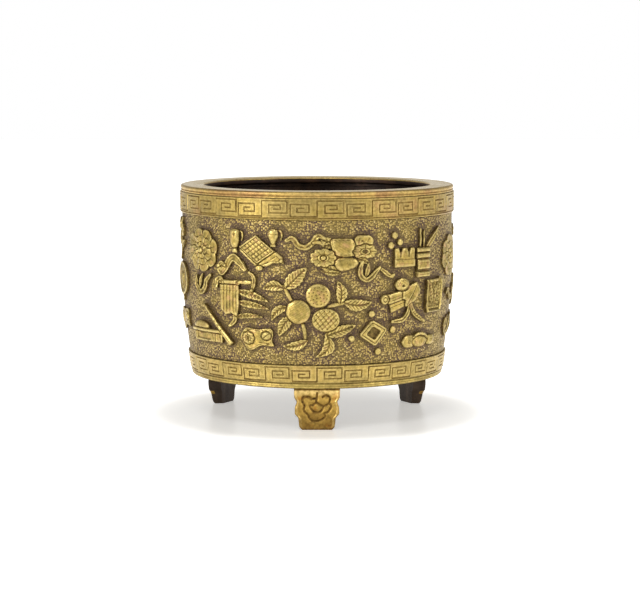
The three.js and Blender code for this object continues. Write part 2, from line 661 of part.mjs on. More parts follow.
// Each emblem: its name, what it is, its angle from the front and its height above the lower band
const frieze = [
  ['flower_left', flower, -54.8, 47.4],
  ['folded_ribbon_left', foldedRibbon, -36.7, 42.2],
  ['looped_ribbon_left', loopedRibbon, -54.6, 33.2],
  ['games_table', gamesTable, -24.6, 49.4],
  ['counter_jar_left', tallCounterJar, -34.8, 52.6],
  ['counter_jar_right', counterJar, -17.6, 54.2],
  ['wavy_ribbon', wavyRibbon, -4.9, 53],
  ['wrapped_bundle', wrappedBundle, 10.2, 47],
  ['trailing_ribbon', trailingRibbon, 24.1, 40.2],
  ['bead_high', bead, 32.7, 55],
  ['bead_middle', bead, 35.3, 52],
  ['bead_low', bead, 30.9, 50.8],
  ['brush_rest', brushRest, 37.5, 45.4],
  ['brush_pot', brushPot, 48, 42.7],
  ['tied_books', tiedBooks, 36.1, 27.9],
  ['lozenge', lozenge, 23.5, 13.7],
  ['lozenge_bead_top', bead, 22.6, 21.9],
  ['lozenge_bead_left', bead, 14.3, 11.5],
  ['lozenge_bead_low', bead, 26.4, 5.4],
  ['lozenge_bead_right', bead, 33, 14.5],
  ['lobed_root', lobedRoot, 48.2, 8.6],
  ['framed_pouch', framedPouch, 56.4, 28.2],
  ['fruit_spray', fruitSpray, 0, 24.6],
  ['canopy', canopy, -36.2, 27],
  ['casket_and_flute', casketAndFlute, -49.5, 14.5],
  ['cloud_gong', cloudGong, -25.4, 11.1],
  ['blossom_branch', blossomBranch, 97, 46.6],
  ['fan_left', fan, -76, 33.2],
  ['flower_right_side', flower, 74, 43.6],
  ['looped_ribbon_right', loopedRibbon, 74.5, 12.8],
  ['framed_pouch_right_side', framedPouch, 98, 27.2],
  ['wavy_ribbon_right', wavyRibbon, 76.5, 27],
  ['lozenge_right_side', lozenge, 96, 11.5],
  ['games_table_back', gamesTable, 122, 49.4],
  ['folded_ribbon_back', foldedRibbon, 141, 50.4],
  ['fruit_spray_back', fruitSpray, 145, 24.2],
  ['cloud_gong_back', cloudGong, 119, 10.1],
  ['wrapped_bundle_back', wrappedBundle, 168, 47.4],
  ['lozenge_back', lozenge, 172, 12.1],
  ['tied_books_back', tiedBooks, 186, 28.2],
  ['trailing_ribbon_back', trailingRibbon, 190, 48.4],
  ['brush_pot_back', brushPot, 205, 42.3],
  ['lobed_root_back', lobedRoot, 198, 8.1],
  ['framed_pouch_back', framedPouch, 211, 22.2],
  ['flower_left_side', flower, 234, 46.4],
  ['canopy_left_side', canopy, 238, 24.2],
  ['wavy_ribbon_left_side', wavyRibbon, 254, 51.4],
  ['blossom_branch_left_side', blossomBranch, 283, 50.8],
  ['cloud_gong_left_side', cloudGong, 283, 15.4],
];

frieze.forEach(([name, emblem, angle, height]) => {
  burner.add(named(name, laidOnWall(emblem(), angle, height), GILT));
});

export default burner;
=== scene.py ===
# %% [markdown]
# # Tripod incense burner in gilt bronze
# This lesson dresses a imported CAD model. The solids of the burner are the frame: they give every size, and
# nothing here moves or resizes them. Each solid is replaced by a finer mesh that stands in the same place.
# The box of the CAD model is kept first, to compare it with the finished model at the end.

# %% The frame
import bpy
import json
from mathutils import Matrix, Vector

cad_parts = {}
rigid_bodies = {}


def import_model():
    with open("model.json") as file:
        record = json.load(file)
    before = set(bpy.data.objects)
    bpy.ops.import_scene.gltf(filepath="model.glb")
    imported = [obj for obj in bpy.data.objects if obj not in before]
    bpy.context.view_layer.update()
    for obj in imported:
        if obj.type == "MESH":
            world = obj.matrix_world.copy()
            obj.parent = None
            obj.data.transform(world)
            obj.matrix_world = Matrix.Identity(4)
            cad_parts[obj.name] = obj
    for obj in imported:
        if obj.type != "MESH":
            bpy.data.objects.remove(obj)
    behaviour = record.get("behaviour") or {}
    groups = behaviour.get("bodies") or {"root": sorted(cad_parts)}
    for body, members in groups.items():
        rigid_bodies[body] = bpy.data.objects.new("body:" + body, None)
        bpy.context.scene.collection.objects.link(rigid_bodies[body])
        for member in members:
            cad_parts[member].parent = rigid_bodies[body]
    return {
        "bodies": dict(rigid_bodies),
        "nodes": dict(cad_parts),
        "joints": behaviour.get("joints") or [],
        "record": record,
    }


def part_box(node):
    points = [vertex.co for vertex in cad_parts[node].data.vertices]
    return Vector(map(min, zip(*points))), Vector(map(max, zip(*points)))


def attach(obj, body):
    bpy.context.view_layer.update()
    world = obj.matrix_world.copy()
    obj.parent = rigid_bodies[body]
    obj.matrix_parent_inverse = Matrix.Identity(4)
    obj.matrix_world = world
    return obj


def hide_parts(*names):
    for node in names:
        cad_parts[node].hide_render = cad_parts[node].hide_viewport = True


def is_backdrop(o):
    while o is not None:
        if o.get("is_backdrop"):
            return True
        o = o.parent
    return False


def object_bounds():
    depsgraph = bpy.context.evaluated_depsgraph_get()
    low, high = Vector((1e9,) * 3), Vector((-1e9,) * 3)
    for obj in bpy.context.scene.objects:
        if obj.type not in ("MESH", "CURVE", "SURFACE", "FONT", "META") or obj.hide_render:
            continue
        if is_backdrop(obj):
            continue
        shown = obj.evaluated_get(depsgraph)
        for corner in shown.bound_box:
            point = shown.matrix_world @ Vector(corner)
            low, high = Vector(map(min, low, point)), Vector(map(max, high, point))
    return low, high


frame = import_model()
cad_box = [list(corner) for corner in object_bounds()]

import json
import math

import bpy
import numpy as np
from mathutils import Vector
from mathutils.geometry import tessellate_polygon

MM = 0.001
print("CAD nodes:", len(frame["nodes"]))

# %% [markdown]
# ## Sizes
# The burner is a round wall between two fret bands, with a lip above and a base with three feet below. Its
# sizes could be typed again, but reading them from the boxes of the solids keeps the two models together.
# Only what a box can't show is typed: how the wall draws in towards its foot and how thick it is, how deep
# the bands are seated and how wide the lip is.

# %% Sizes
def node_box(node):
    """Lowest and highest corner of a CAD node, in millimetres."""
    low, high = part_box(node)
    return np.array(low) / MM, np.array(high) / MM


def node_heights(node):
    """Heights of a node's foot and head."""
    low, high = node_box(node)
    return low[2], high[2]


def node_radius(node):
    """Radius of a round node, from the corner of its box."""
    return node_box(node)[1][0]


GROUND_RADIUS = node_radius("body_wall")
RIM_RADIUS = node_radius("rim_lip")
LIP_TOP = node_heights("rim_lip")[1]
UPPER_BAND = node_heights("upper_fret_band")
LOWER_BAND = node_heights("lower_fret_band")
BASE_FOOT, FLOOR_TOP = node_heights("base_plate")
DRAW_IN = 4.7
DRAW_IN_HEIGHT = 44.6
DRAW_IN_CURVE = 1.5
WALL_THICKNESS = 3.5
BAND_SEAT = 1.2
LIP_WIDTH = 10.3


def ground_radius(z):
    """Radius of the wall's ground at a height: straight above, and drawn in below."""
    drop = np.clip((BASE_FOOT + DRAW_IN_HEIGHT - z) / DRAW_IN_HEIGHT, 0, 1)
    return GROUND_RADIUS - DRAW_IN * drop ** DRAW_IN_CURVE


print(f"wall radius {GROUND_RADIUS:.1f} mm above, {ground_radius(BASE_FOOT):.1f} mm at the base")

# %% [markdown]
# ## Camera
# The photograph was taken from about a metre away, a little above the rim, with a long lens: the mouth
# shows as a thin ellipse and the feet stay upright. A camera could be placed by eye, but the rim and the
# foot of the wall are two ellipses whose heights and widths fix its distance, its height and its tilt.

# %% Camera
IMAGE_WIDTH = 640
FOCAL_PIXELS = 2166
SHIFT_PIXELS = 3
SENSOR_WIDTH = 36
CAMERA_PLACE = (0, -0.9593, 0.1595)
LOOKING_DOWN = 6.495

camera = bpy.data.objects.new("camera", bpy.data.cameras.new("camera"))
camera.location = CAMERA_PLACE
camera.rotation_euler = (math.radians(90 - LOOKING_DOWN), 0, 0)
camera.data.sensor_width = SENSOR_WIDTH
camera.data.lens = SENSOR_WIDTH * FOCAL_PIXELS / IMAGE_WIDTH
camera.data.shift_x = SHIFT_PIXELS / IMAGE_WIDTH
camera.data.clip_start = 0.01
bpy.context.scene.collection.objects.link(camera)
bpy.context.scene.camera = camera
bpy.context.scene.view_settings.view_transform = "Standard"
print(f"lens {camera.data.lens:.1f} mm, looking down {LOOKING_DOWN:.1f} degrees")

# %% [markdown]
# ## Nodes
# Materials are built from nodes. One helper adds a node, sets its options and fills its inputs: a value
# goes into the socket, and an output of another node is linked to it. The others are the few steps that
# come back in every finish, such as mixing two colours or stretching a value's range.

# %% Node helpers
def new_material(name):
    """An empty material and its node tree."""
    material = bpy.data.materials.new(name)
    material.use_nodes = True
    material.node_tree.nodes.clear()
    return material, material.node_tree


def add_node(tree, kind, inputs=None, **options):
    """One node with its options set and its inputs filled or linked."""
    node = tree.nodes.new(kind)
    for option, value in options.items():
        setattr(node, option, value)
    for socket, value in (inputs or {}).items():
        if isinstance(value, bpy.types.NodeSocket):
            tree.links.new(value, node.inputs[socket])
        else:
            node.inputs[socket].default_value = value
    return node


def math_node(tree, operation, first, second=0.0, clamp=False):
    """The result of one sum on values or sockets."""
    node = add_node(tree, "ShaderNodeMath", {0: first, 1: second}, operation=operation, use_clamp=clamp)
    return node.outputs[0]


MIX_SHARE, MIX_FIRST, MIX_SECOND, MIX_RESULT = 0, 6, 7, 2


def mix_colour(tree, share, first, second, blend="MIX"):
    """Mixes two colours; the Mix node has its colour sockets after those for values and vectors."""
    inputs = {MIX_SHARE: share}
    for socket, colour in ((MIX_FIRST, first), (MIX_SECOND, second)):
        inputs[socket] = colour if isinstance(colour, bpy.types.NodeSocket) else (*colour, 1)
    return add_node(tree, "ShaderNodeMix", inputs, data_type="RGBA", blend_type=blend).outputs[MIX_RESULT]


def remap(tree, value, low, high, to_low=0.0, to_high=1.0):
    """Stretches a value's range from low..high to another one, smoothly and clamped."""
    inputs = {"Value": value, "From Min": low, "From Max": high, "To Min": to_low, "To Max": to_high}
    return add_node(tree, "ShaderNodeMapRange", inputs, interpolation_type="SMOOTHSTEP").outputs[0]


def noise(tree, place, size_mm, detail, roughness):
    """Soft random patches, about as wide as the size."""
    inputs = {"Vector": place, "Scale": 1 / (size_mm * MM), "Detail": detail, "Roughness": roughness}
    return add_node(tree, "ShaderNodeTexNoise", inputs).outputs[0]


def stored(tree, name):
    """A value that the mesh keeps at each of its points."""
    return add_node(tree, "ShaderNodeAttribute", attribute_name=name).outputs["Fac"]


def node_group(name, inputs, outputs):
    """An empty shader group with named sockets: floats unless a colour is given as the default."""
    tree = bpy.data.node_groups.new(name, "ShaderNodeTree")
    for label, default in inputs.items():
        kind = "NodeSocketColor" if isinstance(default, tuple) else "NodeSocketFloat"
        socket = tree.interface.new_socket(label, in_out="INPUT", socket_type=kind)
        socket.default_value = (*default, 1) if isinstance(default, tuple) else default
    for label, kind in outputs.items():
        tree.interface.new_socket(label, in_out="OUTPUT", socket_type=kind)
    return tree, tree.nodes.new("NodeGroupInput").outputs, tree.nodes.new("NodeGroupOutput").inputs


# %% [markdown]
# ## Light
# The burner stands in a soft studio. A broad lamp on each side gives the metal its shine, one in front
# fills in, and a lamp straight above throws the shadow under it. The white ground could be lit until it
# clips, but that would bleach the metal too. Instead the world is white by itself to the camera, and
# reflections see it grow darker towards the ceiling, which is what makes polished metal look round.

# %% Lamps and world
LIGHT_TARGET = Vector((0, 0, 0.05))


def studio_light(name, location, size, power, shine=True, fill=True):
    """A square lamp aimed at the burner, for highlights on metal, for matt surfaces or for both."""
    lamp = bpy.data.lights.new(name, "AREA")
    lamp.size = size
    lamp.energy = power
    light = bpy.data.objects.new(name, lamp)
    light.location = location
    light.rotation_euler = (LIGHT_TARGET - Vector(location)).to_track_quat("-Z", "Y").to_euler()
    light.visible_glossy = shine
    light.visible_diffuse = fill
    bpy.context.scene.collection.objects.link(light)


studio_light("light_left", (-0.85, -0.70, 0.35), 0.40, 5.0, fill=False)
studio_light("light_right", (0.90, -0.55, 0.45), 0.45, 3.2, fill=False)
studio_light("light_front", (-0.15, -0.90, 1.05), 0.50, 3.6)
studio_light("light_above", (0, 0.02, 0.5), 0.12, 0.92, shine=False)

AMBIENT = 0.36
HORIZON_SHINE, CEILING_SHINE = 0.90, 0.18
CEILING_FROM = 0.62

world = bpy.data.worlds.new("studio")
bpy.context.scene.world = world
world.use_nodes = True
tree = world.node_tree
tree.nodes.clear()
path = tree.nodes.new("ShaderNodeLightPath").outputs
direction = tree.nodes.new("ShaderNodeTexCoord").outputs["Generated"]
upwards = add_node(tree, "ShaderNodeSeparateXYZ", {0: direction}).outputs["Z"]
darker_above = remap(tree, upwards, 0.0, CEILING_FROM, HORIZON_SHINE, CEILING_SHINE)
shine = math_node(tree, "MULTIPLY", path["Is Glossy Ray"], darker_above)
seen = math_node(tree, "MAXIMUM", path["Is Camera Ray"], path["Is Transmission Ray"])
strength = math_node(tree, "MAXIMUM", math_node(tree, "MAXIMUM", seen, shine), AMBIENT)
sky = add_node(tree, "ShaderNodeBackground", {"Color": (1, 1, 1, 1), "Strength": strength})
add_node(tree, "ShaderNodeOutputWorld", {"Surface": sky.outputs[0]})
print("four lamps, ambient", AMBIENT)

# %% [markdown]
# ## Floor
# The floor is white card with a faint sheen, in which the back feet show. Near the burner it glows only a
# little, so that it takes the shadow, and its glow there is a warm white, which paints a warm tint into the
# shadow. Farther out it shines by itself, just enough to meet the white of the world without a line at the
# horizon; that glow is only seen, and lights nothing.

# %% Floor
CARD_COLOUR = (0.8, 0.8, 0.79, 1)
CARD_ROUGHNESS = 0.3
CARD_SHEEN = 0.12
NEAR_GLOW = 0.45
WARM_WHITE, PURE_WHITE = (1.0, 0.985, 0.945), (1, 1, 1)
SHADOW_REACH = (0.066, 0.092)
FLOOR_SIZE = 6

card, tree = new_material("studio_card")
path = tree.nodes.new("ShaderNodeLightPath").outputs
seen = math_node(tree, "MAXIMUM", path["Is Camera Ray"], path["Is Glossy Ray"])
place = tree.nodes.new("ShaderNodeTexCoord").outputs["Object"]
distance = add_node(tree, "ShaderNodeVectorMath", {0: place}, operation="LENGTH").outputs["Value"]
away = remap(tree, distance, *SHADOW_REACH)
# Warm white near the burner paints a warm tint into its shadow.
glow_colour = mix_colour(tree, away, WARM_WHITE, PURE_WHITE)
glow_strength = math_node(tree, "MULTIPLY", seen, remap(tree, distance, *SHADOW_REACH, NEAR_GLOW, 1.0))
surface = add_node(tree, "ShaderNodeBsdfPrincipled", {
    "Base Color": CARD_COLOUR, "Roughness": CARD_ROUGHNESS, "Specular IOR Level": CARD_SHEEN})
glow = add_node(tree, "ShaderNodeEmission", {"Color": glow_colour, "Strength": glow_strength})
both = add_node(tree, "ShaderNodeAddShader", {0: surface.outputs[0], 1: glow.outputs[0]})
add_node(tree, "ShaderNodeOutputMaterial", {"Surface": both.outputs[0]})

half = FLOOR_SIZE / 2
floor_mesh = bpy.data.meshes.new("floor")
corners = [(-half, -half, 0), (half, -half, 0), (half, half, 0), (-half, half, 0)]
floor_mesh.from_pydata(corners, [], [(0, 1, 2, 3)])
floor_mesh.materials.append(card)
floor = bpy.data.objects.new("floor", floor_mesh)
bpy.context.scene.collection.objects.link(floor)
floor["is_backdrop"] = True
print(f"floor {FLOOR_SIZE} m across")


# %% [markdown]
# ## Finishes
# Fire-gilt bronze is never one colour. Gold stays bright where hands polish it, on edges and high spots, it
# dulls to olive and brown in patches, and dirt settles in every hollow. The same masks also carry painted
# light: in places the pale colour of a crest is a painted highlight, and the dark colour of a hollow is
# painted shade under an edge. One group of nodes does this for all gilt pieces. It needs to know where the
# hollows and the high spots are. Ambient occlusion nodes could find them, but each mesh here is drawn from
# heights, so it already knows, and stores them as attributes.

# %% Worn gilding
def build_worn_gilding():
    """Gold that dulls and stains in patches, is pale on crests, as polish and as painted highlight, and dark
    in hollows, as dirt and as painted shade.
    """
    tree, given, out = node_group("worn gilding", {
        "Gold": (0.5, 0.36, 0.12), "Polished": (0.8, 0.64, 0.3), "Tarnish": (0.3, 0.26, 0.12),
        "Stain": (0.4, 0.2, 0.08), "Dirt": (0.06, 0.04, 0.03), "Tarnish amount": 0.5, "Stain amount": 0.3,
        "Patch size": 9.0, "Dirt evenness": 0.8,
    }, {"Colour": "NodeSocketColor", "Roughness": "NodeSocketFloat", "Height": "NodeSocketFloat"})
    place = tree.nodes.new("ShaderNodeTexCoord").outputs["Object"]
    recess, crest = stored(tree, "recess"), stored(tree, "crest")

    per_metre = math_node(tree, "DIVIDE", 1 / MM, given["Patch size"])
    elsewhere = add_node(tree, "ShaderNodeVectorMath", {0: place, 1: (0.31, 0.17, 0.23)}).outputs[0]
    patches, stains = (
        add_node(tree, "ShaderNodeTexNoise", {"Vector": at, "Scale": per_metre, "Detail": detail}).outputs[0]
        for at, detail in ((place, 3.0), (elsewhere, 4.0)))
    mottle = noise(tree, place, 1.3, 4.0, 0.6)
    grain = noise(tree, place, 0.28, 2.0, 0.5)

    tarnished = math_node(tree, "MULTIPLY", remap(tree, patches, 0.42, 0.62), given["Tarnish amount"])
    colour = mix_colour(tree, tarnished, given["Gold"], given["Tarnish"])
    stained = math_node(tree, "MULTIPLY", remap(tree, stains, 0.52, 0.68), given["Stain amount"])
    colour = mix_colour(tree, stained, colour, given["Stain"])
    mottled = remap(tree, mottle, 0.3, 0.7, 0.70, 1.18)
    shade = add_node(tree, "ShaderNodeCombineColor", {0: mottled, 1: mottled, 2: mottled}).outputs[0]
    colour = mix_colour(tree, 1.0, colour, shade, "MULTIPLY")
    # Crests turn pale: polish, and in places a painted highlight.
    worn = math_node(tree, "MULTIPLY", crest, remap(tree, mottle, 0.32, 0.6, 0.35, 1.0))
    colour = mix_colour(tree, worn, colour, given["Polished"])
    uneven = math_node(tree, "MULTIPLY", remap(tree, mottle, 0.25, 0.65, 1.0, 0.65),
                       remap(tree, patches, 0.35, 0.6, 1.0, given["Dirt evenness"]))
    # Hollows turn dark: dirt, and in places painted shade under an edge.
    dirty = math_node(tree, "MULTIPLY", recess, uneven, True)
    colour = mix_colour(tree, dirty, colour, given["Dirt"])
    tree.links.new(colour, out["Colour"])

    roughness = math_node(tree, "MULTIPLY_ADD", tarnished, 0.14)
    roughness.node.inputs[2].default_value = 0.40
    roughness = math_node(tree, "ADD", roughness, math_node(tree, "MULTIPLY", dirty, 0.30))
    roughness = math_node(tree, "SUBTRACT", roughness, math_node(tree, "MULTIPLY", worn, 0.08))
    roughness = math_node(tree, "ADD", roughness, remap(tree, grain, 0.3, 0.7, -0.05, 0.05))
    tree.links.new(roughness, out["Roughness"])
    broad, fine = math_node(tree, "MULTIPLY", mottle, 0.7), math_node(tree, "MULTIPLY", grain, 0.3)
    tree.links.new(math_node(tree, "ADD", broad, fine), out["Height"])
    return tree


worn_gilding = build_worn_gilding()
print("worn gilding:", len(worn_gilding.nodes), "nodes")

# %% [markdown]
# The group becomes six gilt materials. The lip is the palest, where hands and cloths reach it, and its pale
# top is also a painted highlight; the feet are the reddest. The bands are stained in broad patches, the
# emblems in small ones. Each material could be copied and changed by hand, but here each only names what is
# its own.

# %% Gilt materials
GILT_BUMP = 0.05


def finish_surface(tree, colour, metallic, roughness, bump_mm, height):
    """Ends a material with a metal surface whose bump follows a height."""
    bump = add_node(tree, "ShaderNodeBump", {"Strength": 1.0, "Distance": bump_mm * MM, "Height": height})
    shader = add_node(tree, "ShaderNodeBsdfPrincipled", {
        "Base Color": colour, "Metallic": metallic, "Roughness": roughness, "Normal": bump.outputs[0]})
    add_node(tree, "ShaderNodeOutputMaterial", {"Surface": shader.outputs[0]})


def gilt_material(name, **values):
    """Gilding with its own colours and amounts of tarnish and stain."""
    material, tree = new_material(name)
    group = add_node(tree, "ShaderNodeGroup", node_tree=worn_gilding)
    for label, value in values.items():
        socket = group.inputs[label.replace("_", " ").capitalize()]
        socket.default_value = (*value, 1) if isinstance(value, tuple) else value
    made = group.outputs
    finish_surface(tree, made["Colour"], 0.95, made["Roughness"], GILT_BUMP, made["Height"])
    return material


relief_gilt = gilt_material("relief_gilt", gold=(0.43, 0.303, 0.078), polished=(0.59, 0.46, 0.165),
                            tarnish=(0.27, 0.205, 0.055), stain=(0.52, 0.30, 0.13), dirt=(0.09, 0.058, 0.028),
                            tarnish_amount=0.8, stain_amount=0.7, patch_size=3.2)
upper_band_gilt = gilt_material("upper_band_gilt", gold=(0.40, 0.28, 0.072), polished=(0.55, 0.41, 0.14),
                                tarnish=(0.31, 0.225, 0.075), stain=(0.40, 0.225, 0.09),
                                dirt=(0.18, 0.11, 0.035), tarnish_amount=0.8, stain_amount=0.7,
                                patch_size=15.0, dirt_evenness=0.35)
lower_band_gilt = gilt_material("lower_band_gilt", gold=(0.44, 0.31, 0.088), polished=(0.58, 0.44, 0.16),
                                tarnish=(0.37, 0.275, 0.09), stain=(0.43, 0.27, 0.10),
                                dirt=(0.19, 0.12, 0.036), tarnish_amount=0.6, stain_amount=0.4,
                                patch_size=11.0, dirt_evenness=0.5)
lip_gilt = gilt_material("lip_gilt", gold=(0.56, 0.38, 0.115), polished=(0.87, 0.69, 0.37),
                         tarnish=(0.46, 0.33, 0.12), stain=(0.36, 0.19, 0.08), dirt=(0.24, 0.13, 0.04),
                         tarnish_amount=0.5, stain_amount=0.7, patch_size=12.0, dirt_evenness=0.4)
base_gilt = gilt_material("base_gilt", gold=(0.51, 0.38, 0.112), polished=(0.68, 0.53, 0.20),
                          tarnish=(0.36, 0.26, 0.08), stain=(0.34, 0.19, 0.07), dirt=(0.10, 0.06, 0.022),
                          tarnish_amount=0.6, stain_amount=0.4, patch_size=10.0)
foot_gilt = gilt_material("foot_gilt", gold=(0.46, 0.288, 0.064), polished=(0.84, 0.62, 0.24),
                          tarnish=(0.33, 0.195, 0.042), stain=(0.43, 0.18, 0.032), dirt=(0.075, 0.036, 0.012),
                          tarnish_amount=0.7, stain_amount=0.75, patch_size=5.0)
print("gilt finishes: 6")

# %% [markdown]
# ## Punched ground
# Between the emblems the ground is matted: a small round punch was struck all over it, close together,
# which leaves a grain under a millimetre across. The gold stays on the grains and has worn off in between,
# and the same contrast also paints the light on each grain and the shade between; a dark line of dirt and
# painted shade lies round each emblem. The grains could be modelled one by one, but there are tens of
# thousands, so a Voronoi texture gives each its place and its brightness, and a bump raises it.

# %% Punched ground
def build_punched_ground():
    """Grains of worn gold on brown and olive, each also painted lighter as if lit, with dirt and painted
    shade where the halo is strong.
    """
    tree, given, out = node_group("punched ground", {
        "Gold": (0.475, 0.338, 0.104), "Flecks": (0.60, 0.455, 0.185), "Brown": (0.122, 0.079, 0.055),
        "Olive": (0.20, 0.146, 0.050), "Grain size": 0.9,
    }, {"Colour": "NodeSocketColor", "Roughness": "NodeSocketFloat", "Height": "NodeSocketFloat"})
    place = tree.nodes.new("ShaderNodeTexCoord").outputs["Object"]
    halo = stored(tree, "halo")
    x, y, z = add_node(tree, "ShaderNodeSeparateXYZ", {0: place}).outputs
    turn = math_node(tree, "ARCTAN2", x, math_node(tree, "MULTIPLY", y, -1.0))
    around = math_node(tree, "MULTIPLY", turn, GROUND_RADIUS * MM)
    unrolled = add_node(tree, "ShaderNodeCombineXYZ", {0: around, 1: z}).outputs[0]
    per_metre = math_node(tree, "DIVIDE", 1 / MM, given["Grain size"])
    struck = {"Vector": unrolled, "Scale": per_metre, "Randomness": 0.85}
    cells = add_node(tree, "ShaderNodeTexVoronoi", struck, voronoi_dimensions="2D").outputs
    chance = add_node(tree, "ShaderNodeSeparateColor", {0: cells["Color"]}).outputs
    grain = remap(tree, cells["Distance"], 0.62, 0.25)
    broad = noise(tree, place, 8.0, 3.0, 0.6)
    mottle = noise(tree, place, 2.2, 3.0, 0.6)

    # The halo is dirt and painted shade round each emblem, with darker ground above the lower band.
    dirt = math_node(tree, "ADD", halo, remap(tree, mottle, 0.35, 0.65, -0.25, 0.25))
    free_of_dirt_and_shade = math_node(tree, "SUBTRACT", 1.0, remap(tree, dirt, 0.15, 0.75))
    base = mix_colour(tree, remap(tree, broad, 0.4, 0.6), given["Brown"], given["Olive"])
    base = mix_colour(tree, math_node(tree, "MULTIPLY", halo, 0.6), base, given["Brown"])
    # Gold on each grain and dark between: worn gilding, and also painted light on the grain and shade
    # between.
    gilt = math_node(tree, "MULTIPLY", grain, remap(tree, chance[0], 0.1, 0.8, 0.3, 1.0))
    gilt = math_node(tree, "MULTIPLY", gilt, remap(tree, free_of_dirt_and_shade, 0.0, 1.0, 0.28, 1.0))
    colour = mix_colour(tree, gilt, base, given["Gold"])
    fleck = math_node(tree, "MULTIPLY", grain, remap(tree, chance[1], 0.76, 0.98))
    fleck = math_node(tree, "MULTIPLY", fleck, remap(tree, free_of_dirt_and_shade, 0.0, 1.0, 0.12, 0.95))
    colour = mix_colour(tree, fleck, colour, given["Flecks"])
    tree.links.new(colour, out["Colour"])
    tree.links.new(remap(tree, gilt, 0.0, 1.0, 0.66, 0.44), out["Roughness"])
    height = math_node(tree, "MULTIPLY", grain, remap(tree, chance[2], 0.0, 1.0, 0.5, 1.0))
    tree.links.new(height, out["Height"])
    return tree


GROUND_BUMP = 0.18

punched_ground = build_punched_ground()
ground_material, tree = new_material("punched_ground")
punched = add_node(tree, "ShaderNodeGroup", node_tree=punched_ground).outputs
finish_surface(tree, punched["Colour"], 0.9, punched["Roughness"], GROUND_BUMP, punched["Height"])
print("punched ground:", len(punched_ground.nodes), "nodes")

# %% [markdown]
# ## Dark bronze
# Inside, and behind the feet, the bronze was never gilt. It is nearly black, partly its own dark colour and
# partly painted shade, with faint lighter upright streaks that paint a sheen. The same material serves the
# washers; only its two browns differ between pieces.

# %% Dark bronze
DARK_BUMP = 0.06
DARK_ROUGHNESS = (0.37, 0.57)


def dark_material(name, dark, light):
    """Bare bronze, nearly black as its own colour and as painted shade, with lighter upright streaks that
    paint a sheen; its roughness gives a soft sheen.
    """
    material, tree = new_material(name)
    place = tree.nodes.new("ShaderNodeTexCoord").outputs["Object"]
    streaks = add_node(tree, "ShaderNodeMapping", {"Vector": place, "Scale": (1, 1, 0.12)}).outputs[0]
    # Lighter upright streaks, a painted sheen.
    patches = noise(tree, streaks, 7.0, 4.0, 0.6)
    grain = noise(tree, place, 0.8, 3.0, 0.6)
    colour = mix_colour(tree, remap(tree, patches, 0.4, 0.72), dark, light)
    roughness = remap(tree, grain, 0.3, 0.7, *DARK_ROUGHNESS)
    finish_surface(tree, colour, 0.5, roughness, DARK_BUMP, grain)
    return material


# Nearly black: the bronze's own dark colour, and partly painted shade inside the burner and behind the feet.
dark_bronze = dark_material("dark_bronze", (0.026, 0.010, 0.003), (0.08, 0.034, 0.012))
foot_bronze = dark_material("foot_bronze", (0.042, 0.025, 0.014), (0.11, 0.07, 0.042))
print("dark finishes: 2")

# %% [markdown]
# ## Pieces
# Every piece is a mesh made from lists of points and faces. This helper turns millimetres into metres,
# stores the attributes that the finishes read, hangs the piece on the frame's root and hides the solids that
# it stands for.

# %% Piece helper
SHARP_ANGLE = 48
triangle_count = 0


def add_piece(name, points, faces, material, nodes, attributes=None, smooth=True, second=None):
    """Adds a piece in place of CAD nodes; second is another material and the numbers of its faces."""
    global triangle_count
    mesh = bpy.data.meshes.new(name)
    mesh.from_pydata((np.asarray(points) * MM).tolist(), [], faces)
    mesh.materials.append(material)
    for label, values in (attributes or {}).items():
        stored_values = mesh.attributes.new(label, "FLOAT", "POINT").data
        stored_values.foreach_set("value", np.asarray(values, dtype=np.float32))
    if second:
        mesh.materials.append(second[0])
        for face in second[1]:
            mesh.polygons[face].material_index = 1
    if smooth:
        mesh.shade_smooth()
        mesh.set_sharp_from_angle(angle=math.radians(SHARP_ANGLE))
    mesh.update()
    piece = bpy.data.objects.new(name, mesh)
    bpy.context.scene.collection.objects.link(piece)
    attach(piece, "root")
    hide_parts(*nodes)
    triangle_count += sum(len(face) - 2 for face in faces)


# %% [markdown]
# ## Turned pieces
# The wall, the lip, the bands and the base are round, as if turned on a lathe: a profile of radii and
# heights is swept round the axis. Blender's Screw modifier does the same, but with plain arrays each ring
# of points can also be moved or given an attribute before the mesh is made.

# %% Turning
def turned(profile, segments):
    """Sweeps a closed profile of (radius, height), anticlockwise, round the axis."""
    angles = np.arange(segments) * 2 * math.pi / segments
    points, rings = [], []
    for radius, z in profile:
        start = len(points)
        if radius == 0:
            points.append((0, 0, z))
            rings.append([start] * segments)
            continue
        points.extend(zip(radius * np.sin(angles), -radius * np.cos(angles), [z] * segments))
        rings.append(list(range(start, start + segments)))
    faces = []
    for ring, upper in zip(rings, rings[1:] + rings[:1]):
        for i in range(segments):
            j = (i + 1) % segments
            corners = [ring[i], ring[j], upper[j], upper[i]]
            corners = [corner for k, corner in enumerate(corners) if corner not in corners[:k]]
            if len(corners) > 2:
                faces.append(corners)
    return points, faces


def arc(centre, radius, start, end, steps):
    """Points on an arc of the profile, angles in degrees from outwards, turning up."""
    turns = np.radians(np.linspace(start, end, steps + 1))
    return [(centre[0] + radius * math.cos(turn), centre[1] + radius * math.sin(turn)) for turn in turns]


def wall_curve(foot, head, offset, steps):
    """Profile points that follow the wall's ground between two heights, at a distance from it."""
    return [(ground_radius(z) + offset, z) for z in np.linspace(foot, head, steps + 1)]


def faces_inside(points, faces, radius, below=math.inf):
    """Numbers of the faces that lie within a radius, and below a height if one is given."""
    within = [math.hypot(x, y) < radius and z < below for x, y, z in points]
    return [i for i, face in enumerate(faces) if all(within[k] for k in face)]


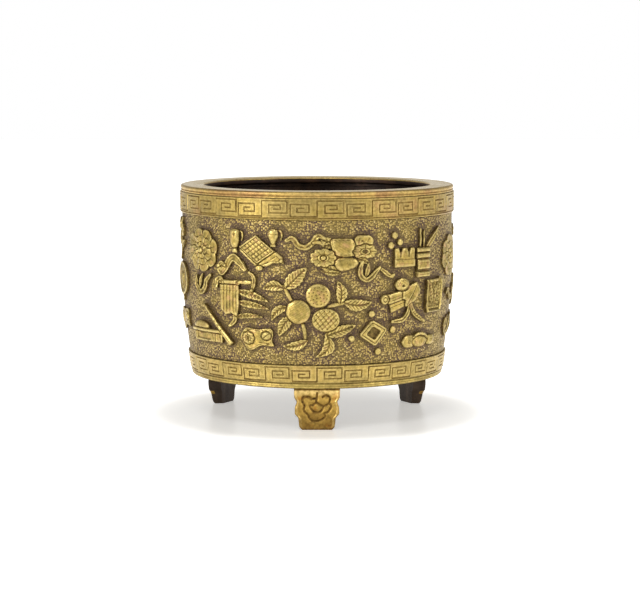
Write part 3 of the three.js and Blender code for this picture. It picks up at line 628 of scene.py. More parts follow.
# %% [markdown]
# ## Lip
# The lip is flat and pale on top, polished and also painted as a highlight, and its outer edge is rolled
# over into a bead with a thin line of painted shade under it, in a notch. It turns in over the mouth, where
# the gilding stops just below the rounded edge, and a short spigot under it centres it in the wall. Its
# profile is drawn point by point, with arcs where the real edge is rounded. A crest above 1 makes the top
# evenly pale, polished and painted as a highlight, where lower values leave islands of darker gold.

# %% Lip
FIT = 0.25
LIP_THICKNESS = 2.8
SPIGOT_WIDTH = 1.6
LIP_FOOT = LIP_TOP - LIP_THICKNESS
MOUTH_RADIUS = RIM_RADIUS - LIP_WIDTH
SPIGOT_OUTER = GROUND_RADIUS - WALL_THICKNESS - FIT
SPIGOT_INNER = SPIGOT_OUTER - SPIGOT_WIDTH
SPIGOT_FOOT = node_heights("rim_lip")[0]

BEAD_ROUND, EDGE_ROUND, UNDER_ROUND = 0.95, 1.1, 0.6
UNDER_BEAD = [(0.45, 0), (0.18, 0.15), (0.12, 0.66), (0.45, 0.78), (0.45, 0.92)]
DARK_LINE = (0.7, 1.0)
PALE_TOP_DEPTH, PALE_TOP_INSET, TOP_POLISH_AND_HIGHLIGHT = 0.35, 0.8, 1.6
GILDING_STOPS = 0.6

lip_profile = [
    (SPIGOT_INNER, LIP_FOOT), (SPIGOT_INNER, SPIGOT_FOOT), (SPIGOT_OUTER, SPIGOT_FOOT),
    (SPIGOT_OUTER, LIP_FOOT),
    *((RIM_RADIUS - inset, LIP_FOOT + rise) for inset, rise in UNDER_BEAD),
    *arc((RIM_RADIUS - BEAD_ROUND, LIP_TOP - BEAD_ROUND), BEAD_ROUND, -40, 90, 9),
    (RIM_RADIUS - 2.4, LIP_TOP), (RIM_RADIUS - 5.2, LIP_TOP - 0.06), (MOUTH_RADIUS + 2.2, LIP_TOP),
    *arc((MOUTH_RADIUS + EDGE_ROUND, LIP_TOP - EDGE_ROUND), EDGE_ROUND, 90, 180, 6),
    (MOUTH_RADIUS, LIP_FOOT + UNDER_ROUND),
    *arc((MOUTH_RADIUS + UNDER_ROUND, LIP_FOOT + UNDER_ROUND), UNDER_ROUND, 200, 270, 4),
]
LIP_SEGMENTS = 180
lip_points, lip_faces = turned(lip_profile, LIP_SEGMENTS)
# The notch under the bead is painted dark as shade.
in_line = [1.0 if DARK_LINE[0] < z - LIP_FOOT < DARK_LINE[1] else 0.0 for _, z in lip_profile]
# The top is painted pale: polish and a painted highlight.
on_top = [TOP_POLISH_AND_HIGHLIGHT if z > LIP_TOP - PALE_TOP_DEPTH and radius < RIM_RADIUS - PALE_TOP_INSET else 0.0
          for radius, z in lip_profile]
lip_values = {"recess": np.repeat(in_line, LIP_SEGMENTS), "crest": np.repeat(on_top, LIP_SEGMENTS)}
unseen = faces_inside(lip_points, lip_faces, SPIGOT_OUTER + 0.1, LIP_TOP - GILDING_STOPS)
add_piece("lip", lip_points, lip_faces, lip_gilt, ["rim_lip"], lip_values,
          second=(dark_bronze, unseen))
print(f"lip {2 * RIM_RADIUS:.1f} mm across, mouth {2 * MOUTH_RADIUS:.1f} mm")

# %% [markdown]
# ## Base
# The bottom is a disc whose moulded edge shows as a plain gold strip under the lower band, with a groove
# along it. Its underside and lowest edge are painted dark as shade, the groove holds dirt, and a dark line
# marks its joint with the band. Inside it carries the ash; below, the three feet are pinned through it.

# %% Base
EDGE_HEIGHT = 2.4
BASE_EDGE = node_radius("base_plate")
BASE_JOINT = BASE_FOOT + EDGE_HEIGHT
BASE_SPIGOT = ground_radius(BASE_JOINT) - WALL_THICKNESS - FIT
BASE_SEGMENTS = 180
MOULDING = [(0.35, 1.3), (0.05, 1.4), (0, 1.85), (0.2, 2.15), (0.5, EDGE_HEIGHT)]
BASE_DIRT_AND_SHADE = [(0.1, 0.95), (0.55, 0), (1.24, 0), (1.3, 0.35), (1.36, 0), (2.1, 0), (2.2, 0.8)]

base_profile = [
    *((radius, BASE_FOOT) for radius in (0, 20, 44, BASE_EDGE - 1.2)),
    *arc((BASE_EDGE - 0.95, BASE_FOOT + 0.75), 0.75, -70, 40, 6),
    *((BASE_EDGE - inset, BASE_FOOT + rise) for inset, rise in MOULDING),
    (BASE_SPIGOT, BASE_JOINT), (BASE_SPIGOT, FLOOR_TOP), (30, FLOOR_TOP), (0, FLOOR_TOP),
]
base_points, base_faces = turned(base_profile, BASE_SEGMENTS)
# Underside and lowest edge painted dark as shade, dirt in the groove, a dark joint under the band.
base_recess = np.interp([z - BASE_FOOT for _, _, z in base_points], *zip(*BASE_DIRT_AND_SHADE))
base_inside = faces_inside(base_points, base_faces, BASE_SPIGOT + 0.1)
add_piece("base", base_points, base_faces, base_gilt, ["base_plate"],
          {"recess": base_recess, "crest": np.zeros(len(base_points))}, second=(dark_bronze, base_inside))
print(f"base {2 * BASE_EDGE:.1f} mm across, its edge {EDGE_HEIGHT} mm high")

# %% [markdown]
# ## Fret bands
# Two raised bands carry a thunder fret: square spirals in a row, each turned over against the next. The
# lines were chased into the metal, so they are real grooves here. A bump texture would be lighter, but its
# grooves would stay flat at the silhouette. The shoulders along the grooves are painted pale, a painted
# highlight. Each unit has a grid whose rows and columns run along the sides of the grooves, so the corners
# stay crisp with few faces.

# %% Grooves of the fret
FRET_UNITS = 32
SPIRAL = [(0.0, 0.0), (0.0, 1.0), (0.94, 1.0), (0.94, 0.22), (0.28, 0.22), (0.28, 0.72),
          (0.70, 0.72), (0.70, 0.46), (0.46, 0.46)]
GROOVE_HALF = 0.34
GROOVE_BOTTOM = 0.17
GROOVE_DEPTH = 0.34
SHOULDER = 0.55
BAND_BEVEL = 0.3
ROW_STEP, COLUMN_STEP = 0.8, 0.9
NARROWEST = 0.02


def stations(lines, low, high, widest):
    """Grid lines at both sides and both bottom edges of each groove, with wide gaps divided."""
    marks = {round(low, 3), round(high, 3)}
    for line in lines:
        marks |= {round(line + side * reach, 3) for side in (-1, 1) for reach in (GROOVE_BOTTOM, GROOVE_HALF)}
    marks = [mark for mark in sorted(marks) if low <= mark <= high]
    marks = [marks[0]] + [b for a, b in zip(marks, marks[1:]) if b - a > NARROWEST]
    filled = [marks[0]]
    for a, b in zip(marks, marks[1:]):
        parts = max(1, math.ceil((b - a) / widest))
        filled += list(np.linspace(a, b, parts + 1)[1:])
    return np.array(filled)


def groove_shoulder(value):
    """1 on the shoulder of a groove, falling off away from it and nothing in it."""
    return np.where(value < -0.05, 0, np.clip(1 - np.abs(value), 0, 1))


def groove_distance(x, y, corners):
    """Distance from the spiral's line, square at its turns and ends."""
    nearest = np.full(np.broadcast(x, y).shape, 99.0)
    for (ax, ay), (bx, by) in zip(corners, corners[1:]):
        out_x = np.maximum(min(ax, bx) - x, x - max(ax, bx))
        out_y = np.maximum(min(ay, by) - y, y - max(ay, by))
        nearest = np.minimum(nearest, np.maximum(np.maximum(out_x, out_y), 0))
    return nearest


def fret_grid(foot, head, unit_width, margins, borders):
    """Angles and rows of a band's grid, how much each point is cut, and how much painted highlight it gets on
    a groove's shoulder.
    """
    field_foot, field_height = foot + margins[0], head - foot - sum(margins)
    spiral = [(x * unit_width, field_foot + y * field_height) for x, y in SPIRAL]
    flipped = [(unit_width - x, 2 * field_foot + field_height - y) for x, y in spiral]
    borders = [foot + border for border in borders]
    lines = [y for _, y in spiral + flipped] + borders
    rows = stations(lines, foot + BAND_BEVEL, head - BAND_BEVEL, ROW_STEP)
    angles, cuts, shoulder_highlights = [], [], []
    for unit in range(FRET_UNITS):
        corners = flipped if unit % 2 else spiral
        places = stations([x for x, _ in corners], 0, unit_width, COLUMN_STEP)[:-1]
        distance = groove_distance(places[:, None], rows[None, :], corners)
        for border in borders:
            distance = np.minimum(distance, np.abs(rows[None, :] - border) + 0 * distance)
        cuts.append(np.clip((GROOVE_HALF - distance) / (GROOVE_HALF - GROOVE_BOTTOM), 0, 1))
        # The shoulders beside each groove are painted pale, a painted highlight.
        shoulder_highlights.append(0.6 * groove_shoulder((distance - GROOVE_HALF) / SHOULDER))
        angles.append((unit + places / unit_width) * 2 * math.pi / FRET_UNITS)
    return np.concatenate(angles), rows, np.concatenate(cuts), np.concatenate(shoulder_highlights)


# %% [markdown]
# Each band is a closed ring: its face, a bevel above and below, and a plain back that sits in the wall's
# seat. The upper band has one more groove, a plain line under the fret, where it meets the ground.

# %% Fret bands
BAND_PROUD = 0.9
WORN_BEVEL = 0.8


def ring_faces(count, size):
    """Faces of a closed ring of sections, each a closed loop of as many points."""
    faces = []
    for i in range(count):
        j = (i + 1) % count
        faces += [(i * size + k, j * size + k, j * size + (k + 1) % size, i * size + (k + 1) % size)
                  for k in range(size)]
    return faces


def fret_band(name, node, material, margins, borders):
    """A band of fret units between two plain margins; borders are the heights of plain grooves."""
    foot, head = node_heights(node)
    unit_width = 2 * math.pi * (ground_radius((foot + head) / 2) + BAND_PROUD) / FRET_UNITS
    angles, rows, cut, shoulder_highlight = fret_grid(foot, head, unit_width, margins, borders)
    bevel = BAND_PROUD - BAND_BEVEL
    profile = [(ground_radius(foot) + bevel, foot), *((ground_radius(z) + BAND_PROUD, z) for z in rows),
               (ground_radius(head) + bevel, head), (ground_radius(head) - BAND_SEAT + FIT, head),
               (ground_radius(foot) - BAND_SEAT + FIT, foot)]
    radii = np.array([radius for radius, _ in profile])[None, :] + np.zeros((len(angles), 1))
    recess, crest = np.zeros(radii.shape), np.zeros(radii.shape)
    face = slice(1, 1 + len(rows))
    radii[:, face] -= GROOVE_DEPTH * cut
    recess[:, face] = cut
    crest[:, face] = shoulder_highlight
    crest[:, 1] = crest[:, len(rows)] = WORN_BEVEL
    heights = np.array([z for _, z in profile])[None, :] + 0 * radii
    around = angles[:, None]
    points = np.stack([radii * np.sin(around), -radii * np.cos(around), heights], axis=-1).reshape(-1, 3)
    faces = ring_faces(*radii.shape)
    add_piece(name, points, faces, material, [node],
              {"recess": recess.ravel(), "crest": crest.ravel()}, smooth=False)
    print(f"{name}: {FRET_UNITS} units of {unit_width:.1f} mm, {2 * len(faces)} triangles")


fret_band("upper_band", "upper_fret_band", upper_band_gilt, (1.6, 1.0), [0.8])
fret_band("lower_band", "lower_fret_band", lower_band_gilt, (0.9, 0.95), [])

# %% [markdown]
# ## Drawing in relief
# The emblems were cast or chased as thin reliefs, and laid on a curved wall. Sculpting each by hand is one
# way; here each is drawn flat as a height field, in millimetres: a fine grid where each form is laid over
# what is already there, as a chaser builds up wax. A field keeps three numbers for each point: the height
# of the surface, how far the point is inside the outline, and dirt that lies in a hollow. What lies behind
# a form is pressed down near it, which gives the sharp overlaps of real chasing.

# %% Height fields
PITCH = 0.25
MARGIN = 3.0
FAR = 9


def curved(points, steps=8, closed=False):
    """A smooth line through the points."""
    points = np.array(points, dtype=float)
    if closed:
        padded = np.vstack([points[-1:], points, points[:2]])
    else:
        padded = np.vstack([2 * points[0] - points[1], points, 2 * points[-1] - points[-2]])
    line = []
    for p0, p1, p2, p3 in zip(padded, padded[1:], padded[2:], padded[3:]):
        for share in np.arange(steps) / steps:
            bend = (2 * p0 - 5 * p1 + 4 * p2 - p3) * share ** 2
            bend = bend + (3 * p1 - p0 - 3 * p2 + p3) * share ** 3
            line.append(0.5 * (2 * p1 + (p2 - p0) * share + bend))
    if not closed:
        line.append(points[-1])
    return np.array(line)


def smooth_step(value):
    """0 below 0, 1 above 1, and a soft rise between."""
    value = np.clip(value, 0, 1)
    return value * value * (3 - 2 * value)


def beside_line(x, y, points):
    """Distance of every place from a line, and the share of the line's length beside it."""
    points = np.array(points, dtype=float)
    lengths = np.hypot(*np.diff(points, axis=0).T)
    before = np.concatenate([[0], np.cumsum(lengths)])
    nearest, share = np.full(x.shape, 1e9), np.zeros(x.shape)
    for (ax, ay), (bx, by), length, start in zip(points, points[1:], lengths, before):
        dx, dy = (bx - ax) / length, (by - ay) / length
        along = np.clip((x - ax) * dx + (y - ay) * dy, 0, length)
        distance = np.hypot(x - ax - along * dx, y - ay - along * dy)
        closer = distance < nearest
        nearest = np.where(closer, distance, nearest)
        share = np.where(closer, (start + along) / before[-1], share)
    return nearest, share


class Relief:
    """A height field over a flat sheet: u across, v up, heights out of it, all in millimetres."""

    def __init__(self, left, right, low, high):
        self.us = np.arange(left - MARGIN, right + MARGIN, PITCH)
        self.vs = np.arange(low - MARGIN, high + MARGIN, PITCH)
        self.u, self.v = np.meshgrid(self.us, self.vs, indexing="ij")
        self.height = np.zeros_like(self.u)
        self.inside = np.full_like(self.u, -MARGIN)
        self.dirt = np.zeros_like(self.u)

    def from_line(self, points):
        """Distance of every grid point from a line."""
        return beside_line(self.u, self.v, points)[0]

    def from_point(self, place):
        """Distance of every grid point from a place."""
        return np.hypot(self.u - place[0], self.v - place[1])

    def area(self, points):
        """How far each grid point is inside a closed outline; outside it is negative."""
        points = np.array(points, dtype=float)
        ring = np.vstack([points, points[:1]])
        distance = self.from_line(ring)
        within = np.zeros(self.u.shape, dtype=bool)
        for (au, av), (bu, bv) in zip(ring, ring[1:]):
            if av != bv:
                crosses = (av > self.v) != (bv > self.v)
                within ^= crosses & (self.u < (bu - au) * (self.v - av) / (bv - av) + au)
        return np.where(within, distance, -distance)

    def disc(self, centre, half_u, half_v, lobes=0, lobe=0.1, turn=0.0):
        """How far each grid point is inside an oval, plain or with lobes."""
        du, dv = (self.u - centre[0]) / half_u, (self.v - centre[1]) / half_v
        reach = 1 - lobe * (1 - np.abs(np.cos((np.arctan2(dv, du) - turn) * lobes / 2))) if lobes else 1
        return (reach - np.hypot(du, dv)) * min(half_u, half_v)

    def lay(self, depth, height, roll=0.9, edge=0.45, cut=0.5, gap=0.45):
        """Lays a form with rounded edges over what is there."""
        rise = np.clip(depth / roll, 0, 1)
        form = height * (edge + (1 - edge) * np.sqrt(1 - (1 - rise) ** 2))
        behind = self.height * (1 - cut * np.clip(1 + depth / gap, 0, 1))
        self.height = np.where(depth > 0, form, behind)
        self.inside = np.maximum(self.inside, depth)
        return depth

    def engrave(self, distance, width, cut, within=None):
        """Cuts a line; a negative cut raises it."""
        line = cut * smooth_step(1 - 2 * distance / width)
        self.height -= line if within is None else line * smooth_step(within / 0.3)

    def chase(self, points, width, cut, within=None):
        """Cuts a line from point to point."""
        self.engrave(self.from_line(points), width, cut, within)

    def chase_inside(self, depth, inset, width, cut):
        """Cuts a line that runs round a form, a little inside its outline."""
        self.engrave(np.where(depth > 0, np.abs(depth - inset), FAR), width, cut)

    def darken(self, depth, amount=1.0):
        """Dirt in a hollow, softly edged."""
        self.dirt = np.maximum(self.dirt, amount * smooth_step(depth / 0.35))

    def beads(self, places, radius, height, base=0.0):
        """Small round beads on top of what is there."""
        for place in places:
            ball = self.disc(place, radius, radius)
            rise = np.sqrt(np.clip(1 - (1 - np.clip(ball / radius, 0, 1)) ** 2, 0, 1))
            behind = self.height * (1 - 0.3 * np.clip(1 + ball / 0.3, 0, 1))
            self.height = np.where(ball > 0, np.maximum(self.height, base) + height * rise, behind)
            self.inside = np.maximum(self.inside, ball)

    def plate(self, points, height, smooth=False, **options):
        """Lays a flat form with this outline, which may be rounded off."""
        outline = curved(points, 5, closed=True) if smooth else points
        return self.lay(self.area(outline), height, **options)


def blurred(field, reach_mm):
    """The field averaged over its surroundings, twice, which is close to a soft blur."""
    reach = max(1, round(reach_mm / PITCH))
    width = 2 * reach + 1
    for axis in (0, 1, 0, 1):
        pad = [(reach, reach) if a == axis else (0, 0) for a in (0, 1)]
        padded = np.pad(field, pad, mode="edge")
        field = sum(np.take(padded, np.arange(k, k + field.shape[axis]), axis) for k in range(width)) / width
    return field


print(f"relief grid {PITCH} mm")

# %% [markdown]
# Two forms come back in almost every emblem. A leaf is a dished blade with a scalloped rim, a midrib and
# slanting veins, and without its veins it is a petal. A ribbon follows a smooth line, and swells and sinks
# along it as if it folded. Both are laid with the tools above, so they overlap what is there.

# %% Leaves and ribbons
def blade_shape(t, round_tip):
    """Half width along a leaf, as a share of its widest; the tip is pointed or round."""
    if round_tip:
        tip = np.sqrt(np.clip(1 - ((t - 0.6) / 0.4) ** 2, 0, 1))
        return np.where(t < 0.6, np.sin(t / 0.6 * math.pi / 2) ** 0.9, tip)
    return np.sin(math.pi * t ** 0.85) ** 0.8 * (1 - 0.15 * t)


def leaf(art, start, tip, width, bow=0.0, height=1.45, teeth=6, round_tip=False, veins=True):
    """A leaf or petal: scalloped raised rim, midrib and slanting veins."""
    start, tip = np.array(start, dtype=float), np.array(tip, dtype=float)
    length = math.hypot(*(tip - start))
    au, av = (tip - start) / length
    share = ((art.u - start[0]) * au + (art.v - start[1]) * av) / length
    t = np.clip(share, 0, 1)
    across = -(art.u - start[0]) * av + (art.v - start[1]) * au - bow * 4 * t * (1 - t)
    scallop = 1 - 0.12 * (1 - np.abs(np.sin(math.pi * teeth * t)))
    half = np.maximum(width / 2 * 1.06 * blade_shape(t, round_tip) * scallop, 1e-3)
    side = np.abs(across)
    beyond = np.abs(share - t) * length
    within = half - side
    depth = np.where(beyond > 0, -np.hypot(beyond, side), np.minimum(within, 0.9 * within + 0.1))
    reach = np.clip(side / half, 0, 1)
    dish = 0.72 + 0.30 * reach ** 2 - 0.18 * smooth_step((reach - 0.8) / 0.2)
    droop = 1 - 0.22 * np.clip(t - 0.65, 0, 1) / 0.35
    art.lay(depth, height * dish * droop, roll=0.45, edge=0.55, cut=0.45, gap=0.5)
    if veins:
        ribs = np.cos(2 * math.pi * (t * length - 0.9 * side) / 1.55)
        open_part = smooth_step((reach - 0.12) / 0.12) * smooth_step((0.86 - reach) / 0.14)
        open_part *= smooth_step(t / 0.1) * smooth_step((0.95 - t) / 0.1)
        art.height -= np.where(depth > 0, 0.26 * smooth_step(ribs) * open_part, 0)
        spine = np.where((share > 0.03) & (share < 0.9), side - 0.16 * smooth_step(ribs), FAR)
        art.engrave(np.maximum(spine, 0), 1.2, 0.5, depth)
    else:
        art.engrave(np.where((share > 0.1) & (share < 0.75), side, FAR), 0.55, 0.3, depth)
    return depth


def ribbon(art, points, width, height=1.3, taper=0.6, fold=0.22, edges=True):
    """A ribbon with two bright edges and a hollow between, which rises and falls along its length."""
    line = curved(points, 6)
    distance, share = beside_line(art.u, art.v, line)
    folds = len(points) - 1
    half = width / 2 * (taper + (1 - taper) * np.clip(np.minimum(share, 1 - share) * folds, 0, 1))
    depth = half - distance
    wave = height * (1 - fold * (0.5 - 0.5 * np.cos(2 * math.pi * folds * share)))
    art.lay(depth, wave, roll=0.5, edge=0.55)
    if edges:
        art.engrave(np.maximum(distance - (half - 0.85), 0), 0.7, 0.36, depth)
        if width > 2.4:
            art.engrave(distance, 0.45, -0.16, depth)
    return depth


# %% [markdown]
# Each drawing is run once and kept by name, because the same form comes back round the wall, and the dark
# line of dirt and painted shade beside it is found from its field.

# %% Kept drawings
art_of = {}


def keep_drawings(*draws):
    """Runs drawing functions, keeps their fields by name and prints their size."""
    for draw in draws:
        name = draw.__name__.removeprefix("draw_")
        art = art_of[name] = draw()
        area = (art.inside > 0).sum() * PITCH ** 2
        print(f"{name}: {area:.0f} square mm, {art.height.max():.1f} mm high")


# %% [markdown]
# ## Flowers and fruit
# The largest emblem is a spray of three fruits with long curling leaves, in front. One fruit shows its
# seeds, one is finely granular and one is cross-hatched with small knobs. Beside it stand round flowers
# with three rings of petals that lap over each other. Both are drawn from the same leaf, turned and
# stretched.

# %% Fruit spray and flowers
def ring_places(centre, radius, count, turn=0.0, squash=1.0):
    """Places spaced evenly on a ring, which may be flattened."""
    angles = turn + np.arange(count) * 2 * math.pi / count
    return [(centre[0] + radius * math.cos(a), centre[1] + squash * radius * math.sin(a)) for a in angles]


def draw_flower():
    art = Relief(-11.4, 11.4, -9.6, 9.6)
    art.lay(art.disc((0, 0), 8.5, 7.0), 0.6)
    for reach, start, width, count, height, turn in [
            (11.1, 4.2, 6.6, 8, 1.25, 0.25), (7.6, 2.2, 5.2, 7, 1.65, 0.6), (4.4, 0.6, 3.4, 5, 2.05, 0.1)]:
        for u, v in ring_places((0, 0), 1, count, turn, 0.84):
            leaf(art, (u * start, v * start), (u * reach, v * reach), width, height=height, teeth=2,
                 round_tip=True, veins=False)
    art.lay(art.disc((0, 0), 1.5, 1.3), 2.25, roll=1.4, edge=0.6)
    return art


FRUIT_SPRAY_LEAVES = [
    ((-13.2, 8.6), (-4.2, 17.6), 6, 0), ((-13.8, 8.6), (-23.1, 7.9), 4.4, -1.4),
    ((9.6, 2.2), (8.5, 11.9), 4.6, -1.2), ((11.2, 2.7), (23.6, 2.5), 5, -1.3),
    ((-11.8, 0.6), (-19.6, -5.6), 3.6, -1.8), ((-10.6, -3.4), (-16.5, -12), 4.8, -0.8),
    ((-4, -13.6), (-14.9, -16.2), 4, 1.2), ((3.9, -10.4), (-0.7, -20.8), 5, 3.6),
    ((4.4, -11.6), (16.7, -7.2), 4.6, 0),
]
FRUIT_SPRAY_STALKS = [
    [(-13.8, 9.8), (-12.4, 6.5), (-9.6, 1.4)], [(3.2, -1.2), (5.8, 1.2), (12.2, 2.6)],
    [(-7, -4), (-5.4, -9), (-4.9, -14.2)], [(4, -8), (4.2, -10.4), (5.2, -12.4)],
    [(-4.6, 1.2), (-2.6, 3)], [(1.4, 2), (3, -1.4)],
]
FRUITS = [((0.5, 5.6), 5.1, 5.1), ((-7.8, -1.3), 5.1, 5.1), ((3.7, -4.8), 5.8, 5.0)]
LEAF_SPREAD = 1.1


def draw_fruit_spray():
    """The spray, whose three fruits are pitted, finely grained and cross-hatched."""
    art = Relief(-23.4, 23.8, -21.2, 17.9)
    for stalk in FRUIT_SPRAY_STALKS:
        ribbon(art, stalk, 1.7, 1.1, edges=False)
    for start, tip, width, bow in FRUIT_SPRAY_LEAVES:
        leaf(art, start, tip, LEAF_SPREAD * width, bow, height=1.6)
    for centre, half_u, half_v in FRUITS:
        art.lay(art.disc(centre, half_u, half_v), 2.35, roll=4.6, edge=0.42, cut=0.6, gap=0.7)
    pitted, grained, hatched = FRUITS
    for radius, count in [(1.0, 4), (2.4, 9), (3.7, 14)]:
        for place in ring_places(pitted[0], radius, count, radius):
            art.engrave(art.from_point(place), 0.9, 0.42)
    centre, half_u, half_v = grained
    grain = np.cos(2 * math.pi * art.u / 1.1) * np.cos(2 * math.pi * (art.v + 0.3 * art.u) / 1.0)
    art.height += np.where(art.disc(centre, half_u - 0.5, half_v - 0.5) > 0, 0.09 * grain, 0)
    centre, half_u, half_v = hatched
    within = art.disc(centre, half_u - 0.5, half_v - 0.5)
    for turn, pitch in ((0.62, 1.75), (-0.75, 1.55)):
        along = (art.u - centre[0]) * math.cos(turn) + (art.v - centre[1]) * math.sin(turn)
        art.engrave(np.abs((along / pitch + 0.5) % 1 - 0.5) * pitch, 0.9, 0.28, within)
    return art


def draw_blossom_branch():
    art = Relief(-6.8, 5.8, -9.2, 9.4)
    ribbon(art, [(-2, -9), (-0.6, -2), (-1.4, 4), (1.5, 9)], 1.8, 1.2, edges=False)
    for start, tip, width in [((-1, -3), (-6, 3), 3.2), ((-1, -4), (5.6, -0.6), 3.2),
                              ((-0.6, 3), (-6.6, 8.4), 2.8)]:
        leaf(art, start, tip, width)
    for centre in [(-2.6, 6.4), (1.6, 3.6)]:
        for place in ring_places(centre, 1.6, 5, 0.3):
            art.lay(art.disc(place, 1.35, 1.35), 1.6, roll=0.9, edge=0.5)
        art.beads([centre], 0.8, 0.5, base=1.3)
    return art


keep_drawings(draw_flower, draw_fruit_spray, draw_blossom_branch)

# %% [markdown]
# ## Ribbons
# Every treasure emblem floats on a fluttering ribbon. A ribbon is a strip along a smooth line: its two
# edges are raised and its height rises and falls, so that it seems to fold.

# %% Ribbons
def draw_folded_ribbon():
    art = Relief(-8.8, 8.4, -5.2, 4.6)
    leaf(art, (2.2, 2.2), (8.2, -2.4), 3.2, 0.4, height=1.1, teeth=3)
    art.lay(art.disc((-5.9, -0.9), 1.6, 1.4), 1.0)
    ribbon(art, [(-7.2, -1.4), (-4.9, -3.4), (-0.4, 2.4), (2.3, 2.9), (6.8, -1.5)], 3.2, 1.5)
    ribbon(art, [(-7.4, -1.0), (-5.6, 0.6), (-3.4, -0.4)], 2.0, 1.5)
    return art


def draw_looped_ribbon():
    art = Relief(-5.6, 7.8, -5.4, 5.2)
    ribbon(art, [(-3.8, 2.6), (-4.2, -0.8), (-1.2, -3.9), (2, -2.4), (3.6, 1.2), (6.4, 3.9)], 2.4, 1.4)
    leaf(art, (-1.6, -2.2), (0.8, 4.4), 2.2, 0.4, height=1.15, teeth=3, veins=False)
    return art


def draw_wavy_ribbon():
    art = Relief(-8.8, 9.2, -3.8, 3.8)
    wave = [(-7.6, 0.5), (-5.1, 1.4), (-2.6, -1.5), (0.2, -2.4), (3, -0.7), (5.4, 2.4), (8, 1.6)]
    ribbon(art, wave, 2.3, 1.4)
    ribbon(art, [(3.4, -0.4), (5.8, -0.2), (7.6, -1.2)], 1.5, 1.1)
    return art


def draw_trailing_ribbon():
    art = Relief(-8.4, 9.6, -4.6, 5.2)
    ribbon(art, [(1.6, 1.4), (6.7, -2.3), (8.5, -2)], 2.1, 1.25)
    ribbon(art, [(-6.2, 4), (-7.1, 0.1), (-6.1, -2.6), (-3.2, -3.3), (1.6, 1.4)], 2.2, 1.5)
    leaf(art, (-4.6, -2.2), (-3.4, 3.6), 2.2, -0.3, height=1.2, teeth=3, veins=False)
    return art


keep_drawings(draw_folded_ribbon, draw_looped_ribbon, draw_wavy_ribbon, draw_trailing_ribbon)

# %% [markdown]
# ## Scholar's things
# A games table with its two counter jars, a wrapped bundle of scrolls, a brush rest like three hills, a pot
# of brushes and a pair of tied books stand for the four arts. Each is a few flat plates at different
# heights with chased lines: the lines that a real chaser would cut are cut here in the same order, after
# the forms.

# %% Games table, jars and beads
TABLE_TOP = [(-8.1, 0.7), (0.3, -6.1), (8.2, -0.7), (-0.2, 6.1)]
TABLE_APRON = [(-0.8, -7.1), (0.8, -8.9), (2.4, -7.1), (4.6, -7.1), (7.5, -5.6), (12, -5.8), (11.2, -2.8),
               (8, -0.4), (0.3, -5.8)]
TABLE_FRAME = 0.075
SQUARES = 5


def skewed(art, origin, first, second):
    """Shares of the way along two edges of a slanted panel."""
    (ou, ov), (fu, fv), (su, sv) = origin, first, second
    au, av, bu, bv = fu - ou, fv - ov, su - ou, sv - ov
    scale = au * bv - av * bu
    p = ((art.u - ou) * bv - (art.v - ov) * bu) / scale
    q = (au * (art.v - ov) - av * (art.u - ou)) / scale
    return p, q


def draw_games_table():
    """The table seen at a slant, with a sunk board of squares, a bowed apron and a curled foot."""
    art = Relief(-8.4, 12.4, -9.2, 6.5)
    art.plate(TABLE_APRON, 1.35, edge=0.6, roll=0.6)
    art.chase([(0.6, -7.0), (4.4, -5.6), (8.8, -2.6), (11.0, -4.4)], 0.5, 0.3)
    art.chase([(1.2, -7.6), (3.2, -6.2), (7.2, -4.7), (9.4, -5.0)], 0.5, 0.25)
    art.beads([(10.8, -4.6)], 0.8, 0.5)
    art.plate([(-8.0, -0.9), (-0.1, -7.6), (0.8, -6.2), (-8.0, 0.9)], 1.45, roll=0.7)
    top = art.plate(TABLE_TOP, 1.9, edge=0.7, roll=0.35)
    curl = art.disc((1.0, -7.9), 1.7, 1.15)
    art.lay(curl, 1.5, roll=0.9)
    art.engrave(np.abs(curl - 0.55), 0.5, 0.25, curl)
    p, q = skewed(art, TABLE_TOP[0], TABLE_TOP[1], TABLE_TOP[3])
    inner_p, inner_q = ((share - TABLE_FRAME) / (1 - 2 * TABLE_FRAME) for share in (p, q))
    side = np.maximum(np.abs(inner_p - 0.5), np.abs(inner_q - 0.5))
    sunk = smooth_step((0.53 - side) / 0.03)
    off_p, off_q = np.abs(inner_p * SQUARES % 1 - 0.5), np.abs(inner_q * SQUARES % 1 - 0.5)
    square = smooth_step((0.46 - np.maximum(off_p, off_q)) / 0.12)
    art.height -= np.where(top > 0, sunk * (0.42 - 0.30 * square * (side < 0.5)), 0)
    return art


def mirrored(right_half):
    """A closed outline from its right half, drawn upwards."""
    return right_half + [(-u, v) for u, v in reversed(right_half)]


def draw_counter_jar():
    """A jar broad above and narrow below, with the end of a ribbon standing up at its right."""
    top, foot, waist = 4.0, -3.4, -2.1
    art = Relief(-2.6, 4.4, foot - 0.2, top + 0.6)
    tail = [(1.4, top - 0.6), (3.1, top - 0.9), (3.7, top - 2.6), (3.3, top - 4.6)]
    ribbon(art, tail, 0.85, 0.8, edges=False)
    outline = mirrored([(1.15, foot), (0.95, waist), (1.6, waist + 1.7), (2.3, top - 2.8), (2.0, top - 1.0),
                        (1.0, top)])
    body = art.plate(outline, 2.1, smooth=True, roll=2.0, edge=0.42)
    art.chase([(-2, top - 2.0), (0, top - 2.5), (2, top - 2.0)], 0.5, 0.22, body)
    art.chase([(-1.2, waist), (0, waist - 0.2), (1.2, waist)], 0.55, 0.35)
    return art


